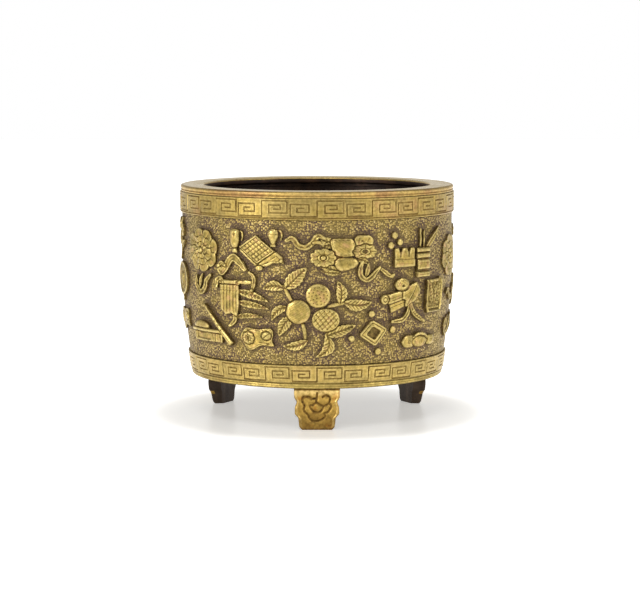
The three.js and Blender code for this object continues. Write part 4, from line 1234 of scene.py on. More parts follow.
def draw_tall_counter_jar():
    """A jar with a full belly, its mouth open, on a foot of its own."""
    art = Relief(-2.6, 4.4, -5.1, 5.5)
    ribbon(art, [(1.4, 4.3), (3.1, 4.0), (3.7, 2.3), (3.3, 0.3)], 0.85, 0.8, edges=False)
    art.plate(mirrored([(1.3, -4.9), (1.1, -3.6), (0.9, -2.4)]), 1.5, smooth=True, roll=1.0)
    belly = mirrored([(0.9, -2.8), (1.9, -1.4), (2.3, 0.6), (2.2, 3.0), (1.7, 4.9)])
    body = art.plate(belly, 2.1, smooth=True, roll=2.0, edge=0.42)
    art.engrave(np.hypot(art.u, (art.v - 2.9) * 0.7), 1.9, 0.45, body)
    return art


def draw_bead(height=1.6):
    art = Relief(-1.5, 1.5, -1.5, 1.5)
    art.lay(art.disc((0, 0), 1.5, 1.5), height, roll=1.45, edge=0.35)
    art.engrave(np.abs(art.from_point((-0.1, -0.1)) - 0.55), 0.4, 0.2)
    return art


def draw_low_bead():
    return draw_bead(0.95)


def draw_drop_bead():
    art = Relief(-1.6, 1.5, -1.5, 1.6)
    drop = [(-1.5, 0.4), (-0.2, 1.35), (1.0, 1.0), (1.35, -0.1), (0.7, -1.2), (-0.4, -1.3)]
    art.plate(drop, 1.6, smooth=True, roll=1.3, edge=0.4)
    return art


keep_drawings(draw_games_table, draw_counter_jar, draw_tall_counter_jar)
keep_drawings(draw_bead, draw_low_bead, draw_drop_bead)

# %% [markdown]
# The bundle of scrolls is wrapped in cloth and shows two round ends, drawn like flowers. The books lie open
# on each other, tied with a ribbon, one tail of which is beaded. Both are heaps of overlapping forms, so
# the order in which they are laid decides what lies on top.

# %% Bundle and books
def petal_roundel(art, centre, half_u, half_v, height, petals, knob, hole=False):
    """A round end with petals about its middle, which is a knob or a hole."""
    art.lay(art.disc(centre, half_u, half_v, petals, 0.12), height, roll=1.0, edge=0.5)
    du, dv = (art.u - centre[0]) / half_u, (art.v - centre[1]) / half_v
    radius, angle = np.hypot(du, dv), np.arctan2(dv, du)
    between = np.abs(np.sin(angle * petals / 2)) * radius * min(half_u, half_v) * 2 / petals * 1.6
    on_petals = (radius > 0.4) & (radius < 1.02)
    art.engrave(np.where(on_petals, between, FAR), 0.75, 0.30, art.disc(centre, half_u, half_v))
    art.engrave(np.abs(radius - 0.42) * min(half_u, half_v), 0.7, 0.32)
    if hole:
        art.engrave(np.maximum(radius - 0.16, 0) * min(half_u, half_v), 0.8, 0.9)
        art.darken((0.3 - radius) * min(half_u, half_v))
    else:
        art.lay(art.disc(centre, knob, knob), height + 0.45, roll=knob, edge=0.65)


def draw_wrapped_bundle():
    art = Relief(-14, 15.2, -8.8, 9.4)
    art.plate([(-3.4, -2), (-2.8, 2.6), (4.6, 2.6), (5.4, -0.4), (4.4, 1.4)], 1.0)
    leaf(art, (-3.2, 5.2), (-9.4, 8.0), 4.2, 0.6, height=1.25)
    leaf(art, (-2.4, 4.0), (-8.6, 4.0), 3.0, -0.6, height=1.15)
    leaf(art, (-1.8, -6.6), (-10.6, -2.4), 3.8, 0.4, height=1.3)
    leaf(art, (-0.8, -7.2), (-9.2, -6.2), 2.6, 0.4, height=1.1)
    outline = [(5.0, 3.9), (5.4, 7.9), (8.0, 8.7), (11.8, 8.4), (13.2, 6.0), (11.4, 3.4)]
    crown = art.plate(outline, 1.6, smooth=True, roll=0.7)
    hole = (8.2, 6.2)
    art.engrave(art.from_point(hole), 1.5, 0.7)
    art.darken(0.7 - art.from_point(hole))
    for start, end in [((9.8, 5.0), (11.4, 7.6)), ((6.4, 4.8), (7.0, 7.4))]:
        art.chase([start, end], 0.6, 0.22, crown)
    outline = [(-2.6, -1), (4, -0.8), (6.7, -2.6), (4.5, -5.2), (-1, -6.3), (-3.2, -4)]
    lower = art.plate(outline, 2.0, smooth=True, roll=2.2, edge=0.45)
    for k in range(4):
        art.chase([(-3.2 + 2.2 * k, -0.6), (-1.8 + 2.2 * k, -6.4)], 0.4, 0.14, lower)
    outline = [(-4.7, 7), (0, 7.5), (4, 7), (5.6, 3.4), (5.2, 0.4), (1.4, -0.3), (-2.6, 0.2), (-4.6, 3.4)]
    upper = art.plate(outline, 2.3, smooth=True, roll=2.6, edge=0.45)
    slant = (art.u * 0.55 + art.v * 0.83) / 0.95
    art.height -= np.where(upper > 0.5, 0.10 * smooth_step(np.abs(slant % 1 - 0.5) * 4 - 1), 0)
    art.chase_inside(upper, 0.75, 0.45, 0.25)
    petal_roundel(art, (-8.1, -0.7), 5.6, 4.1, 1.75, 9, 1.1)
    petal_roundel(art, (9.5, 1.7), 5.4, 3.3, 1.65, 8, 0.9, hole=True)
    leaf(art, (6.2, -1.6), (11.8, -3.8), 2.6, 0.5, height=1.1, teeth=3)
    return art


def draw_tied_books():
    art = Relief(-10.4, 15.2, -11.6, 8.2)
    for tail in ([(4.8, -2), (4.2, -6), (1.6, -9.3), (-4.2, -9.9)],
                 [(5.4, -2), (7, -6), (10.5, -8.8), (14.6, -11)]):
        ribbon(art, tail, 2.1, 1.35)
    art.beads([(7.0 + 1.25 * k, -6.0 - 0.83 * k) for k in range(6)], 0.55, 0.25)
    left = art.plate([(-10, -0.1), (-6.2, -2.3), (0.6, -0.6), (0.6, 3.7), (-8.1, 1.7)], 1.8, roll=0.6)
    art.chase([(-7.6, -0.2), (-5.6, -1.0), (0.2, 0.6)], 0.5, 0.3, left)
    art.chase([(-7.4, 0.8), (-5.4, 0.2), (0.2, 1.8)], 0.45, 0.22, left)
    lower = art.plate([(-5.9, -2.5), (-4.9, -6.1), (2.9, -3.3), (2.9, -0.3)], 1.0, roll=0.5)
    art.chase([(-5.2, -3.8), (2.8, -1.6)], 0.5, 0.3, lower)
    outline = [(0.1, 3.8), (0.1, -0.3), (2.2, -1), (2.2, -3.9), (8, -1.2), (10.7, 3.2), (8.3, 6.8)]
    right = art.plate(outline, 1.9, roll=0.6)
    for line, width, cut in [([(8.3, 5.8), (5.9, 1.4), (3.0, -3.0)], 0.6, 0.45),
                             ([(7.7, 6.0), (5.2, 1.5), (2.6, -1.6)], 0.5, -0.2),
                             ([(0.8, 2.6), (6.0, 5.0)], 0.5, 0.16), ([(1.0, 0.9), (4.6, 2.6)], 0.5, 0.16)]:
        art.chase(line, width, cut, right)
    art.chase_inside(right, 0.55, 0.4, 0.25)
    art.lay(art.disc((-8.3, -0.1), 1.9, 2.1), 1.95, roll=1.6, edge=0.5)
    art.engrave(np.abs(art.from_point((-8.3, -0.1)) - 0.95), 0.55, 0.5)
    knot = art.lay(art.disc((0.2, 5.9), 3.7, 2.7), 1.9, roll=1.1, edge=0.5)
    loop = np.hypot((art.u - 0.6) / 1.4, (art.v - 5.4) / 0.9)
    art.engrave(np.maximum(loop - 0.3, 0) * 0.95, 0.7, 1.0)
    art.chase([(-2.6, 5.0), (-1.0, 7.2), (1.6, 7.6)], 0.5, 0.25)
    art.chase_inside(knot, 0.6, 0.4, 0.22)
    return art


keep_drawings(draw_wrapped_bundle, draw_tied_books)

# %% [markdown]
# The brush rest and the brush pot are seen straight from the side, so plates with straight bands are
# enough. The brushes are drawn first and the pot is laid over their lower ends.

# %% Brush rest and brush pot
def draw_brush_rest():
    art = Relief(-5.6, 5.6, -4.4, 4.6)
    outline = [(-5.3, -4.1), (5.3, -4.1), (5.4, 3.5), (4.9, 4.2), (3.3, 4.1), (2.2, 1.9), (1.2, 3.9),
               (0.1, 4.2), (-1.1, 3.9), (-2.2, 1.9), (-3.2, 4.0), (-4.8, 4.2), (-5.3, 3.5)]
    hills = art.plate(outline, 1.6, roll=0.6)
    for u in (-2.2, 2.2):
        art.engrave(np.where(hills > -0.2, art.from_line([(u, 2.0), (u - 0.1, 0.4)]), FAR), 1.0, 0.5)
    for u in (-4.4, 0.1, 4.3):
        art.chase([(u - 0.7, 0.2), (u, 2.8), (u + 0.6, 0.2)], 0.45, 0.12, hills)
    art.plate([(-5.4, -4.1), (5.4, -4.1), (5.4, -0.9), (-5.4, -0.9)], 1.75, roll=0.5, edge=0.85, cut=0.1)
    art.chase([(-4.6, -2.6), (4.6, -2.6)], 0.5, 0.14)
    return art


def draw_brush_pot():
    art = Relief(-4.6, 13.2, -6.6, 15.4)
    ribbon(art, [(-1.5, 5.4), (-1.5, 10), (-1.5, 14.4)], 1.2, 1.1, edges=False)
    ribbon(art, [(0.7, 5.4), (0.9, 9), (1, 13.6)], 1.1, 0.95, edges=False)
    leaf(art, (1.6, 5.2), (12.6, 14.8), 3.0, 0.0, height=1.5, teeth=0.01, veins=False)
    art.plate([(-3.7, -6.4), (3.7, -6.4), (4.2, 6.3), (-4.2, 6.3)], 1.2, roll=0.7)
    for v, half, reach in [(5.3, 4.3, 0.95), (2.9, 4.15, 1.1), (-0.9, 4.0, 2.2), (-5.2, 3.9, 1.2)]:
        band = np.minimum(half - np.abs(art.u), reach - np.abs(art.v - v))
        art.lay(band, 2.0, roll=0.8, edge=0.6, cut=0.25, gap=0.4)
    art.chase([(-3.4, -0.2), (3.4, -0.2)], 0.5, 0.2)
    art.chase([(-3.2, -5.2), (3.2, -5.2)], 0.5, 0.25)
    return art


keep_drawings(draw_brush_rest, draw_brush_pot)

# %% [markdown]
# ## Treasures
# The other emblems are the small treasures that fill the space between: a lozenge with its beads, a lobed
# root of immortality, a pouch in a frame, a canopy with streamers, a casket with a flute on it, a
# cloud-shaped gong and a fan.

# %% Lozenge, root, pouch and fan
LOZENGE = np.array([(-0.9, 5.8), (-6.7, -0.8), (1.1, -6), (6.7, 1.4)])


def curved_corners(corners, cut_back):
    """The outline with each corner replaced by two points a little way along its sides."""
    corners = np.array(corners, dtype=float)
    points = []
    for before, here, after in zip(np.roll(corners, 1, axis=0), corners, np.roll(corners, -1, axis=0)):
        for other in (before, after):
            points.append(here + (other - here) * cut_back / math.hypot(*(other - here)))
    return points


def draw_lozenge():
    art = Relief(-6.9, 6.9, -6.2, 6.0)
    frame = art.plate(curved_corners(LOZENGE, 0.9), 1.8, roll=0.45, edge=0.6)
    art.chase_inside(frame, 0.95, 0.5, 0.5)
    hollow = art.area(curved_corners(LOZENGE * 0.5, 0.5))
    art.engrave(np.where(hollow < 0, np.maximum(np.abs(hollow + 0.35) - 0.1, 0), FAR), 0.6, -0.15)
    art.height -= np.where(hollow > -0.1, 1.5 * smooth_step((hollow + 0.1) / 0.35), 0)
    art.darken(hollow + 0.2)
    return art


def draw_lobed_root():
    art = Relief(-11, 12, -3.4, 3.8)
    for centre, half_u, half_v in [((-6.6, 0), 4.3, 2.9), ((8, -0.4), 3.7, 2.4), ((0.4, -0.2), 5.3, 2.8)]:
        lobe = art.lay(art.disc(centre, half_u, half_v, 6, 0.06), 1.7, roll=1.9, edge=0.35)
        art.chase_inside(lobe, 0.9, 0.5, 0.12)
    ribbon(art, [(-4.5, 1.6), (-1, 3), (3.4, 2.2), (5, 0.8)], 1.4, 1.9, edges=False)
    for centre in [(-6.8, -0.2), (0.2, -0.8), (8, -0.5)]:
        art.engrave(np.abs(np.hypot(art.u - centre[0], (art.v - centre[1]) * 1.5) - 0.8), 0.5, 0.3)
    return art


def draw_framed_pouch():
    art = Relief(-6.6, 6.6, -8.4, 8.8)
    outline = [(-6, 6.5), (-6.3, -5), (-4.8, -8), (4.8, -8), (6.3, -5), (6, 6.5)]
    pouch = art.plate(outline, 1.3, roll=0.5)
    art.height -= 0.5 * smooth_step((pouch - 1.2) / 0.3)
    art.darken(pouch - 1.3, 0.35)
    for start, tip, width in [((-2.0, -4), (-4.2, 6.2), 3.0), ((0.4, -4.4), (4.6, 7.6), 4.0),
                              ((0.2, -3.6), (-0.6, 5.6), 2.4), ((1.6, -4.6), (4.6, 0.4), 2.4)]:
        leaf(art, start, tip, width, height=1.75)
    rim = [(-5.5, 6.2), (-5.8, -5), (-4.4, -7.4), (4.4, -7.4), (5.8, -5), (5.5, 6.2)]
    art.chase(rim, 1.1, -0.5, pouch)
    art.beads([(-3.6 + 1.44 * k, -5.9) for k in range(6)], 0.62, 0.5, base=0.8)
    return art


def draw_fan():
    art = Relief(-8.4, 8.4, -9.8, 7.6)
    ribbon(art, [(0, -6.0), (0, -8), (0, -9.4)], 1.8, 1.3, edges=False)
    face = art.lay(art.disc((0, 0), 8.2, 7.4), 1.6, roll=0.6, edge=0.5)
    art.height -= 0.6 * smooth_step((face - 0.9) / 0.3)
    art.darken(face - 1.0, 0.5)
    for tip, width, bow in [((-5.6, 1.2), 2.6, 0.6), ((-2.4, 5.2), 2.8, 0.3), ((3.4, 4.6), 2.6, -0.4),
                            ((5.4, -0.6), 2.4, -0.6)]:
        leaf(art, (0, -5.4), tip, width, bow, height=1.5)
    art.lay(art.disc((0, 0), 2.1, 2.8), 1.95, roll=1.5, edge=0.5)
    art.engrave(np.abs(art.from_point((0, 0)) - 1.0), 0.5, 0.3)
    return art


keep_drawings(draw_lozenge, draw_lobed_root, draw_framed_pouch, draw_fan)

# %% [markdown]
# The last three are built up from straight and curved parts: a canopy hangs from a hooked pole with beaded
# streamers behind it, a flute lies across a casket, and a gong is cut out like a cloud.

# %% Canopy, casket and gong
def draw_canopy():
    art = Relief(-14.6, 17.8, -12.2, 13.4)
    for start, tip, width, bow in [((1.6, 4.2), (17.2, 0.2), 3.6, 0.6), ((1.6, -0.6), (17.4, -3), 3.2, 0.4),
                                   ((0.4, -7.4), (14.8, -6.6), 2.4, 0.8)]:
        leaf(art, start, tip, width, bow, height=1.2)
        for share in (0.3, 0.42, 0.54, 0.66, 0.78):
            u, v = (first + (last - first) * share for first, last in zip(start, tip))
            art.beads([(u, v + bow * 4 * share * (1 - share))], 0.62, 0.3)
    ribbon(art, [(-0.6, -5), (0.8, -7.6), (-0.4, -9.6), (-2.6, -11.2)], 2.0, 1.3)
    cloth = [(-6.4, 8.6), (-6.8, 2), (-6.8, -4), (-4, -6.5), (-1, -5.6), (2, -7), (3.3, -2), (3.6, 8.6)]
    body = art.plate(cloth, 1.6, roll=0.7)
    for u in (-6.0, -4.3, -2.6, -0.9, 0.8, 2.4):
        art.chase([(u, 7.4), (u - 0.5, -5.2)], 0.6, 0.4, body)
    art.plate([(-7, 7.0), (3.9, 7.0), (3.9, 8.9), (-7, 8.9)], 1.95, roll=0.6)
    art.chase([(-6.6, 4.2), (3.4, 4.2)], 0.5, 0.3, body)
    ribbon(art, [(3, 8), (7, 8.1), (10.6, 8.2)], 1.8, 1.3, edges=False)
    ribbon(art, [(8.6, 12.4), (10.6, 10.5), (10.6, 7.5), (9.8, 4.6)], 1.9, 1.5)
    ribbon(art, [(-8.6, 5.4), (-8.4, 8.2), (-6.4, 9.2), (-4.8, 7.4)], 2.1, 1.7)
    art.beads([(9.6, 4.8)], 0.9, 0.5, base=0.8)
    return art


def draw_casket_and_flute():
    art = Relief(-15.4, 13.6, -8.0, 10.2)
    casket = art.plate([(-14, -7), (6.5, -6.6), (7.2, -1.2), (-15, -1.2)], 1.4, roll=0.6)
    panel = np.minimum(5.6 - np.abs(art.u + 6.6), 1.5 - np.abs(art.v + 4.6))
    art.height -= 0.45 * smooth_step(panel / 0.3)
    art.engrave(np.abs(panel + 0.5), 0.4, 0.2, casket)
    for u in (0.6, 2.2, 3.8, 5.4):
        art.chase([(u, -6.2), (u, -2.8)], 0.6, 0.4, casket)
    art.lay(art.disc((-7.6, -0.6), 6.2, 2.6), 2.0, roll=1.8, edge=0.45)
    for u in (-11, -9.3, -7.6, -5.9, -4.2):
        art.chase([(u, 1.8), (-7.6 + (u + 7.6) * 0.6, -1)], 0.45, 0.22)
    art.lay(np.minimum(0.75 - np.abs(art.v + 1.9), 11.0 - np.abs(art.u + 3.9)), 1.95, roll=0.6, edge=0.6)
    flute = art.plate([(-4.4, 9.8), (-3, 9.6), (13.2, -6), (11, -7.6)], 2.1, roll=0.9, edge=0.45)
    art.chase([(-2.8, 8.6), (11.0, -5.6)], 0.4, 0.22, flute)
    for share in (0.3, 0.42, 0.54, 0.66):
        place = (-3.6 + 15.6 * share, 9.4 - 15.8 * share)
        art.engrave(np.maximum(art.from_point(place) - 0.15, 0), 0.7, 0.5, flute)
    return art


def draw_cloud_gong():
    art = Relief(-8.6, 8.2, -5.6, 5.4)
    outline = [(-8.2, 0.6), (-6.8, -2.1), (-4.5, -5.1), (-1.9, -4.8), (2.1, -2.9), (7.7, -3.1), (6.9, -0.7),
               (7.6, 2.7), (6.2, 4.7), (0.5, 4.0), (-5.1, 4.5)]
    cloud = art.plate(outline, 1.2, smooth=True, roll=0.6)
    art.chase_inside(cloud, 0.65, 0.45, 0.3)
    petal_roundel(art, (-4.1, 0.2), 3.0, 2.9, 1.75, 8, 0.9, hole=True)
    art.lay(art.disc((4.4, 1.4), 2.2, 1.9), 1.9, roll=1.6, edge=0.45)
    art.chase([(3.2, 0.4), (5.8, 2.4)], 0.6, 0.45)
    art.chase([(1.0, -1.6), (5.8, -1.9)], 0.5, 0.3, cloud)
    return art


keep_drawings(draw_canopy, draw_casket_and_flute, draw_cloud_gong)

# %% [markdown]
# ## From a height field to a closed mesh
# Every grid square inside the outline becomes a face. Points on the border are moved onto the outline, so
# that it doesn't show steps, a skirt goes down into the wall, and a flat back closes the piece. The
# difference between a height and its surroundings tells hollow from crest, which the gilding needs for dirt
# and polish, and for painted highlights on crests.

# %% Outline of a relief
SEAT = 0.6
LOWEST = 0.35
EDGE_MOVE = 0.7 * PITCH


def kept_squares(art):
    """The grid squares inside the outline, with none that touch only at a corner."""
    mean = (art.inside[:-1, :-1] + art.inside[1:, :-1] + art.inside[:-1, 1:] + art.inside[1:, 1:]) / 4
    kept = mean > 0
    kept[[0, -1], :] = kept[:, [0, -1]] = False
    while True:
        a, b, c, d = kept[:-1, :-1], kept[1:, :-1], kept[:-1, 1:], kept[1:, 1:]
        pinch = (a & d & ~b & ~c) | (b & c & ~a & ~d)
        if not pinch.any():
            return kept
        for square in (a, b, c, d):
            square |= pinch


def squares_at_points(kept, shape):
    """How many of the four squares round each grid point are kept."""
    near = np.zeros(shape, dtype=int)
    for du in (0, 1):
        for dv in (0, 1):
            near[du:du + kept.shape[0], dv:dv + kept.shape[1]] += kept
    return near


def moved_to_outline(art, on_border):
    """The grid's places, with the border's points moved onto the outline."""
    slope_u, slope_v = np.gradient(art.inside, PITCH)
    steep = np.maximum(slope_u ** 2 + slope_v ** 2, 0.25)
    move = np.where(on_border, -art.inside / steep, 0)
    u = art.u + np.clip(move * slope_u, -EDGE_MOVE, EDGE_MOVE)
    v = art.v + np.clip(move * slope_v, -EDGE_MOVE, EDGE_MOVE)
    return u, v


def heights_past_outline(art):
    """The form's heights, carried on for three grid points past its outline."""
    height = np.maximum(art.height, LOWEST)
    known = art.inside > 0.02
    for _ in range(3):
        total, count = np.zeros_like(height), np.zeros_like(height)
        for axis in (0, 1):
            for shift in (-1, 1):
                total += np.roll(np.where(known, height, 0), shift, axis)
                count += np.roll(known, shift, axis)
        grow = ~known & (count > 0)
        height[grow] = total[grow] / count[grow]
        known |= grow
    return height


def outline_loops(edges):
    """Chains directed border edges into closed loops."""
    following = dict(edges)
    loops = []
    while following:
        start, here = next(iter(following.items()))
        loop = [start]
        del following[start]
        while here != start:
            loop.append(here)
            here = following.pop(here)
        loops.append(loop)
    return loops


# %% [markdown]
# The skirt and the back need the border as closed loops, because an emblem may have holes. Blender's
# polygon filler then closes the back. Hollows and crests are found by comparing each height with a blurred
# copy: what lies lower than its surroundings is dirty, and what stands above them is polished and also
# painted pale as a highlight. Each form is also painted darker along its outline.

# %% Meshing a relief
BROAD_BLUR, CLOSE_BLUR = 0.75, 0.5
DEEP_HOLLOW = 0.17
OUTLINE_DARKENING, OUTLINE_DARKENING_WIDTH = 0.7, 0.4


def skirt_and_back(top, border):
    """Points of the flat back under the border, and the faces of the skirt and of the back."""
    lower = {a: len(top) + k for k, a in enumerate(sorted({a for a, _ in border}))}
    bottom = [(top[a][0], top[a][1], -SEAT) for a in lower]
    faces = [(b, a, lower[a], lower[b]) for a, b in border]
    loops = outline_loops(border)
    flat = [a for loop in loops for a in loop]
    for triangle in tessellate_polygon([[Vector((*top[a][:2], 0)) for a in loop] for loop in loops]):
        (au, av), (bu, bv), (cu, cv) = (top[flat[k]][:2] for k in triangle)
        turn = (bu - au) * (cv - av) - (bv - av) * (cu - au)
        order = triangle if turn < 0 else triangle[::-1]
        faces.append(tuple(lower[flat[k]] for k in order))
    return bottom, faces


def hollows_and_crests(art, height):
    """For each grid point, how much of a hollow and how much of a crest it is."""
    lifted = art.height - blurred(np.where(art.inside > 0, art.height, 0), BROAD_BLUR)
    close = art.height - blurred(np.where(art.inside > 0, art.height, height), CLOSE_BLUR)
    # Each form is darker along its outline.
    edge = OUTLINE_DARKENING * smooth_step(1 - art.inside / OUTLINE_DARKENING_WIDTH)
    hollow = np.maximum.reduce([smooth_step(-close / DEEP_HOLLOW), edge, art.dirt])
    # Crests: polish, and partly a painted highlight where edges catch the light.
    return hollow, smooth_step(lifted / 0.8 + close / 0.3)


def mesh_relief(art):
    """Flat points (u, v, w), faces, and how hollow and how high each point is."""
    kept = kept_squares(art)
    near = squares_at_points(kept, art.u.shape)
    used = near > 0
    number = np.full(art.u.shape, -1)
    number[used] = np.arange(used.sum())
    height = heights_past_outline(art)
    u, v = moved_to_outline(art, used & (near < 4))
    top = np.stack([u[used], v[used], height[used]], axis=1)

    i, j = np.nonzero(kept)
    quads = np.stack([number[i, j], number[i + 1, j], number[i + 1, j + 1], number[i, j + 1]], axis=1)
    directed = {(int(q[k]), int(q[(k + 1) % 4])) for q in quads for k in range(4)}
    bottom, closing = skirt_and_back(top, [(a, b) for a, b in directed if (b, a) not in directed])

    hollow, crest = hollows_and_crests(art, height)
    recess = np.concatenate([hollow[used], np.ones(len(bottom))])
    crest = np.concatenate([crest[used], np.zeros(len(bottom))])
    return np.vstack([top, bottom]), quads.tolist() + closing, recess, crest


mesh_of = {name: mesh_relief(art) for name, art in art_of.items()}
print(len(mesh_of), "forms meshed,", sum(len(mesh[1]) for mesh in mesh_of.values()), "faces")

# %% [markdown]
# ## The frieze
# Each emblem gets an angle round the wall and a height on it. The side towards the camera follows the
# photograph; the rest of the wall, which it doesn't show, repeats the same forms a little farther apart.
# Flat sizes go onto the wall as a label goes round a jar: across becomes an angle, and up stays up. The
# ground is 376 steps round and 62 steps high, and a step is about the drawings' millimetre. At both sides,
# where the emblems are seen edge-on, the photograph shows them lower than in front.

# %% Laying the emblems on the wall
GRID_ROUND = 376
GRID_UP = 62
FRIEZE_FOOT, FRIEZE_HEAD = LOWER_BAND[1], UPPER_BAND[0]
SOLDER = 0.3
THICKNESS, SIDE_THICKNESS = 0.86, 0.60
SIDE_FROM = 0.95

step_round, step_up = 2 * math.pi * GROUND_RADIUS / GRID_ROUND, (FRIEZE_HEAD - FRIEZE_FOOT) / GRID_UP
print(f"a step is {step_round:.2f} mm round and {step_up:.2f} mm up")

# Each row: the emblem, its drawing, its angle round the wall in degrees and its height in steps of GRID_UP.
FRIEZE = [
    ("flower_left", "flower", -54.8, 47.4), ("folded_ribbon_left", "folded_ribbon", -36.7, 42.2),
    ("looped_ribbon_left", "looped_ribbon", -54.6, 33.2), ("games_table", "games_table", -24.6, 49.4),
    ("counter_jar_left", "tall_counter_jar", -34.8, 52.6), ("counter_jar_right", "counter_jar", -17.6, 54.2),
    ("wavy_ribbon", "wavy_ribbon", -4.9, 53.0), ("wrapped_bundle", "wrapped_bundle", 10.2, 47.0),
    ("trailing_ribbon", "trailing_ribbon", 24.1, 40.2), ("bead_high", "bead", 32.7, 55.0),
    ("bead_middle", "bead", 35.3, 52.0), ("bead_low", "bead", 30.9, 50.8),
    ("brush_rest", "brush_rest", 37.5, 45.4), ("brush_pot", "brush_pot", 48.0, 42.7),
    ("tied_books", "tied_books", 36.1, 27.9),
    ("lozenge", "lozenge", 23.5, 13.7), ("lozenge_bead_top", "bead", 22.6, 21.9),
    ("lozenge_bead_left", "drop_bead", 14.3, 11.5), ("lozenge_bead_low", "low_bead", 26.4, 5.4),
    ("lozenge_bead_right", "low_bead", 33.0, 14.5), ("lobed_root", "lobed_root", 48.2, 8.6),
    ("framed_pouch", "framed_pouch", 56.4, 28.2), ("fruit_spray", "fruit_spray", 0.0, 24.6),
    ("canopy", "canopy", -36.2, 27.0), ("casket_and_flute", "casket_and_flute", -49.5, 14.5),
    ("cloud_gong", "cloud_gong", -25.4, 11.1), ("blossom_branch", "blossom_branch", 97.0, 46.6),
    ("fan_left", "fan", -76.0, 33.2), ("flower_right_side", "flower", 74.0, 43.6),
    ("looped_ribbon_right", "looped_ribbon", 74.5, 12.8),
    ("framed_pouch_right_side", "framed_pouch", 98.0, 27.2),
    ("wavy_ribbon_right", "wavy_ribbon", 76.5, 27.0), ("lozenge_right_side", "lozenge", 96.0, 11.5),
    ("games_table_back", "games_table", 122.0, 49.4), ("folded_ribbon_back", "folded_ribbon", 141.0, 50.4),
    ("fruit_spray_back", "fruit_spray", 145.0, 24.2), ("cloud_gong_back", "cloud_gong", 119.0, 10.1),
    ("wrapped_bundle_back", "wrapped_bundle", 168.0, 47.4), ("lozenge_back", "lozenge", 172.0, 12.1),
    ("tied_books_back", "tied_books", 186.0, 28.2), ("trailing_ribbon_back", "trailing_ribbon", 190.0, 48.4),
    ("brush_pot_back", "brush_pot", 205.0, 42.3), ("lobed_root_back", "lobed_root", 198.0, 8.1),
    ("framed_pouch_back", "framed_pouch", 211.0, 22.2), ("flower_left_side", "flower", 234.0, 46.4),
    ("canopy_left_side", "canopy", 238.0, 24.2), ("wavy_ribbon_left_side", "wavy_ribbon", 254.0, 51.4),
    ("blossom_branch_left_side", "blossom_branch", 283.0, 50.8),
    ("cloud_gong_left_side", "cloud_gong", 283.0, 15.4),
]


def wrapped(points, angle, height):
    """Lays flat points on the wall: u becomes an angle, v a height and w a distance out from the ground."""
    turn = math.radians(angle) + 2 * math.pi * points[:, 0] / GRID_ROUND
    z = FRIEZE_FOOT + (height + points[:, 1]) * (FRIEZE_HEAD - FRIEZE_FOOT) / GRID_UP
    radius = ground_radius(z) + points[:, 2]
    return np.stack([radius * np.sin(turn), -radius * np.cos(turn), z], axis=1)


for name, form, angle, height in FRIEZE:
    flat, faces, recess, crest = mesh_of[form]
    share = SIDE_THICKNESS if abs(math.sin(math.radians(angle))) > SIDE_FROM else THICKNESS
    raised = flat * [1, 1, share] + np.where(flat[:, 2:] > 0, [[0, 0, SOLDER]], 0)
    add_piece(f"{name}_relief", wrapped(raised, angle, height), faces, relief_gilt, [name],
              {"recess": recess, "crest": crest})
print(f"{len(FRIEZE)} emblems, {triangle_count} triangles so far")

# %% [markdown]
# ## Wall
# The wall is one turned shell. Behind each band it is cut back to seat it. Every point of the ground also
# learns how near it is to an emblem, by looking it up in the height fields, because there the punching
# stops short, and a dark line is painted round each form: dirt, and painted shade, a little broader above
# it and to its right as a painted shadow. The ground is also a little darker just above the lower band.

# %% Wall
WALL_SEGMENTS = 540
WALL_ROWS, SEAT_ROWS, INSIDE_ROWS = 90, 3, 10
HALO_REACH = 2.3
PAINTED_SHADOW_SHIFT = 3
LOW_GROUND_DARKENING, LOW_GROUND_DARKENING_HEIGHT = 0.3, 7


def halo_round_emblems(angles, heights):
    """For each angle and height of the ground, 1 beside an emblem and 0 well away from it."""
    halo = np.zeros((len(angles), len(heights)))
    v_all = (heights - FRIEZE_FOOT) * GRID_UP / (FRIEZE_HEAD - FRIEZE_FOOT)
    for _, form, angle, height in FRIEZE:
        art = art_of[form]
        u = ((np.degrees(angles) - angle + 180) % 360 - 180) * GRID_ROUND / 360
        columns = np.nonzero((u > art.us[0]) & (u < art.us[-1]))[0]
        rows = np.nonzero((v_all - height > art.vs[0]) & (v_all - height < art.vs[-1]))[0]
        at_u = np.clip(np.round((u[columns] - art.us[0]) / PITCH).astype(int), 0, len(art.us) - 1)
        at_v = np.clip(np.round((v_all[rows] - height - art.vs[0]) / PITCH).astype(int), 0, len(art.vs) - 1)
        # Looking the field up a few points lower and farther left as well paints a broader shadow above and
        # right of each form.
        above_u, above_v = np.clip(at_u - PAINTED_SHADOW_SHIFT, 0, None), np.clip(at_v - PAINTED_SHADOW_SHIFT, 0, None)
        inside = np.maximum(art.inside[np.ix_(at_u, at_v)], art.inside[np.ix_(above_u, above_v)])
        closeness = smooth_step(1 + inside / HALO_REACH)
        halo[np.ix_(columns, rows)] = np.maximum(halo[np.ix_(columns, rows)], closeness)
    return halo


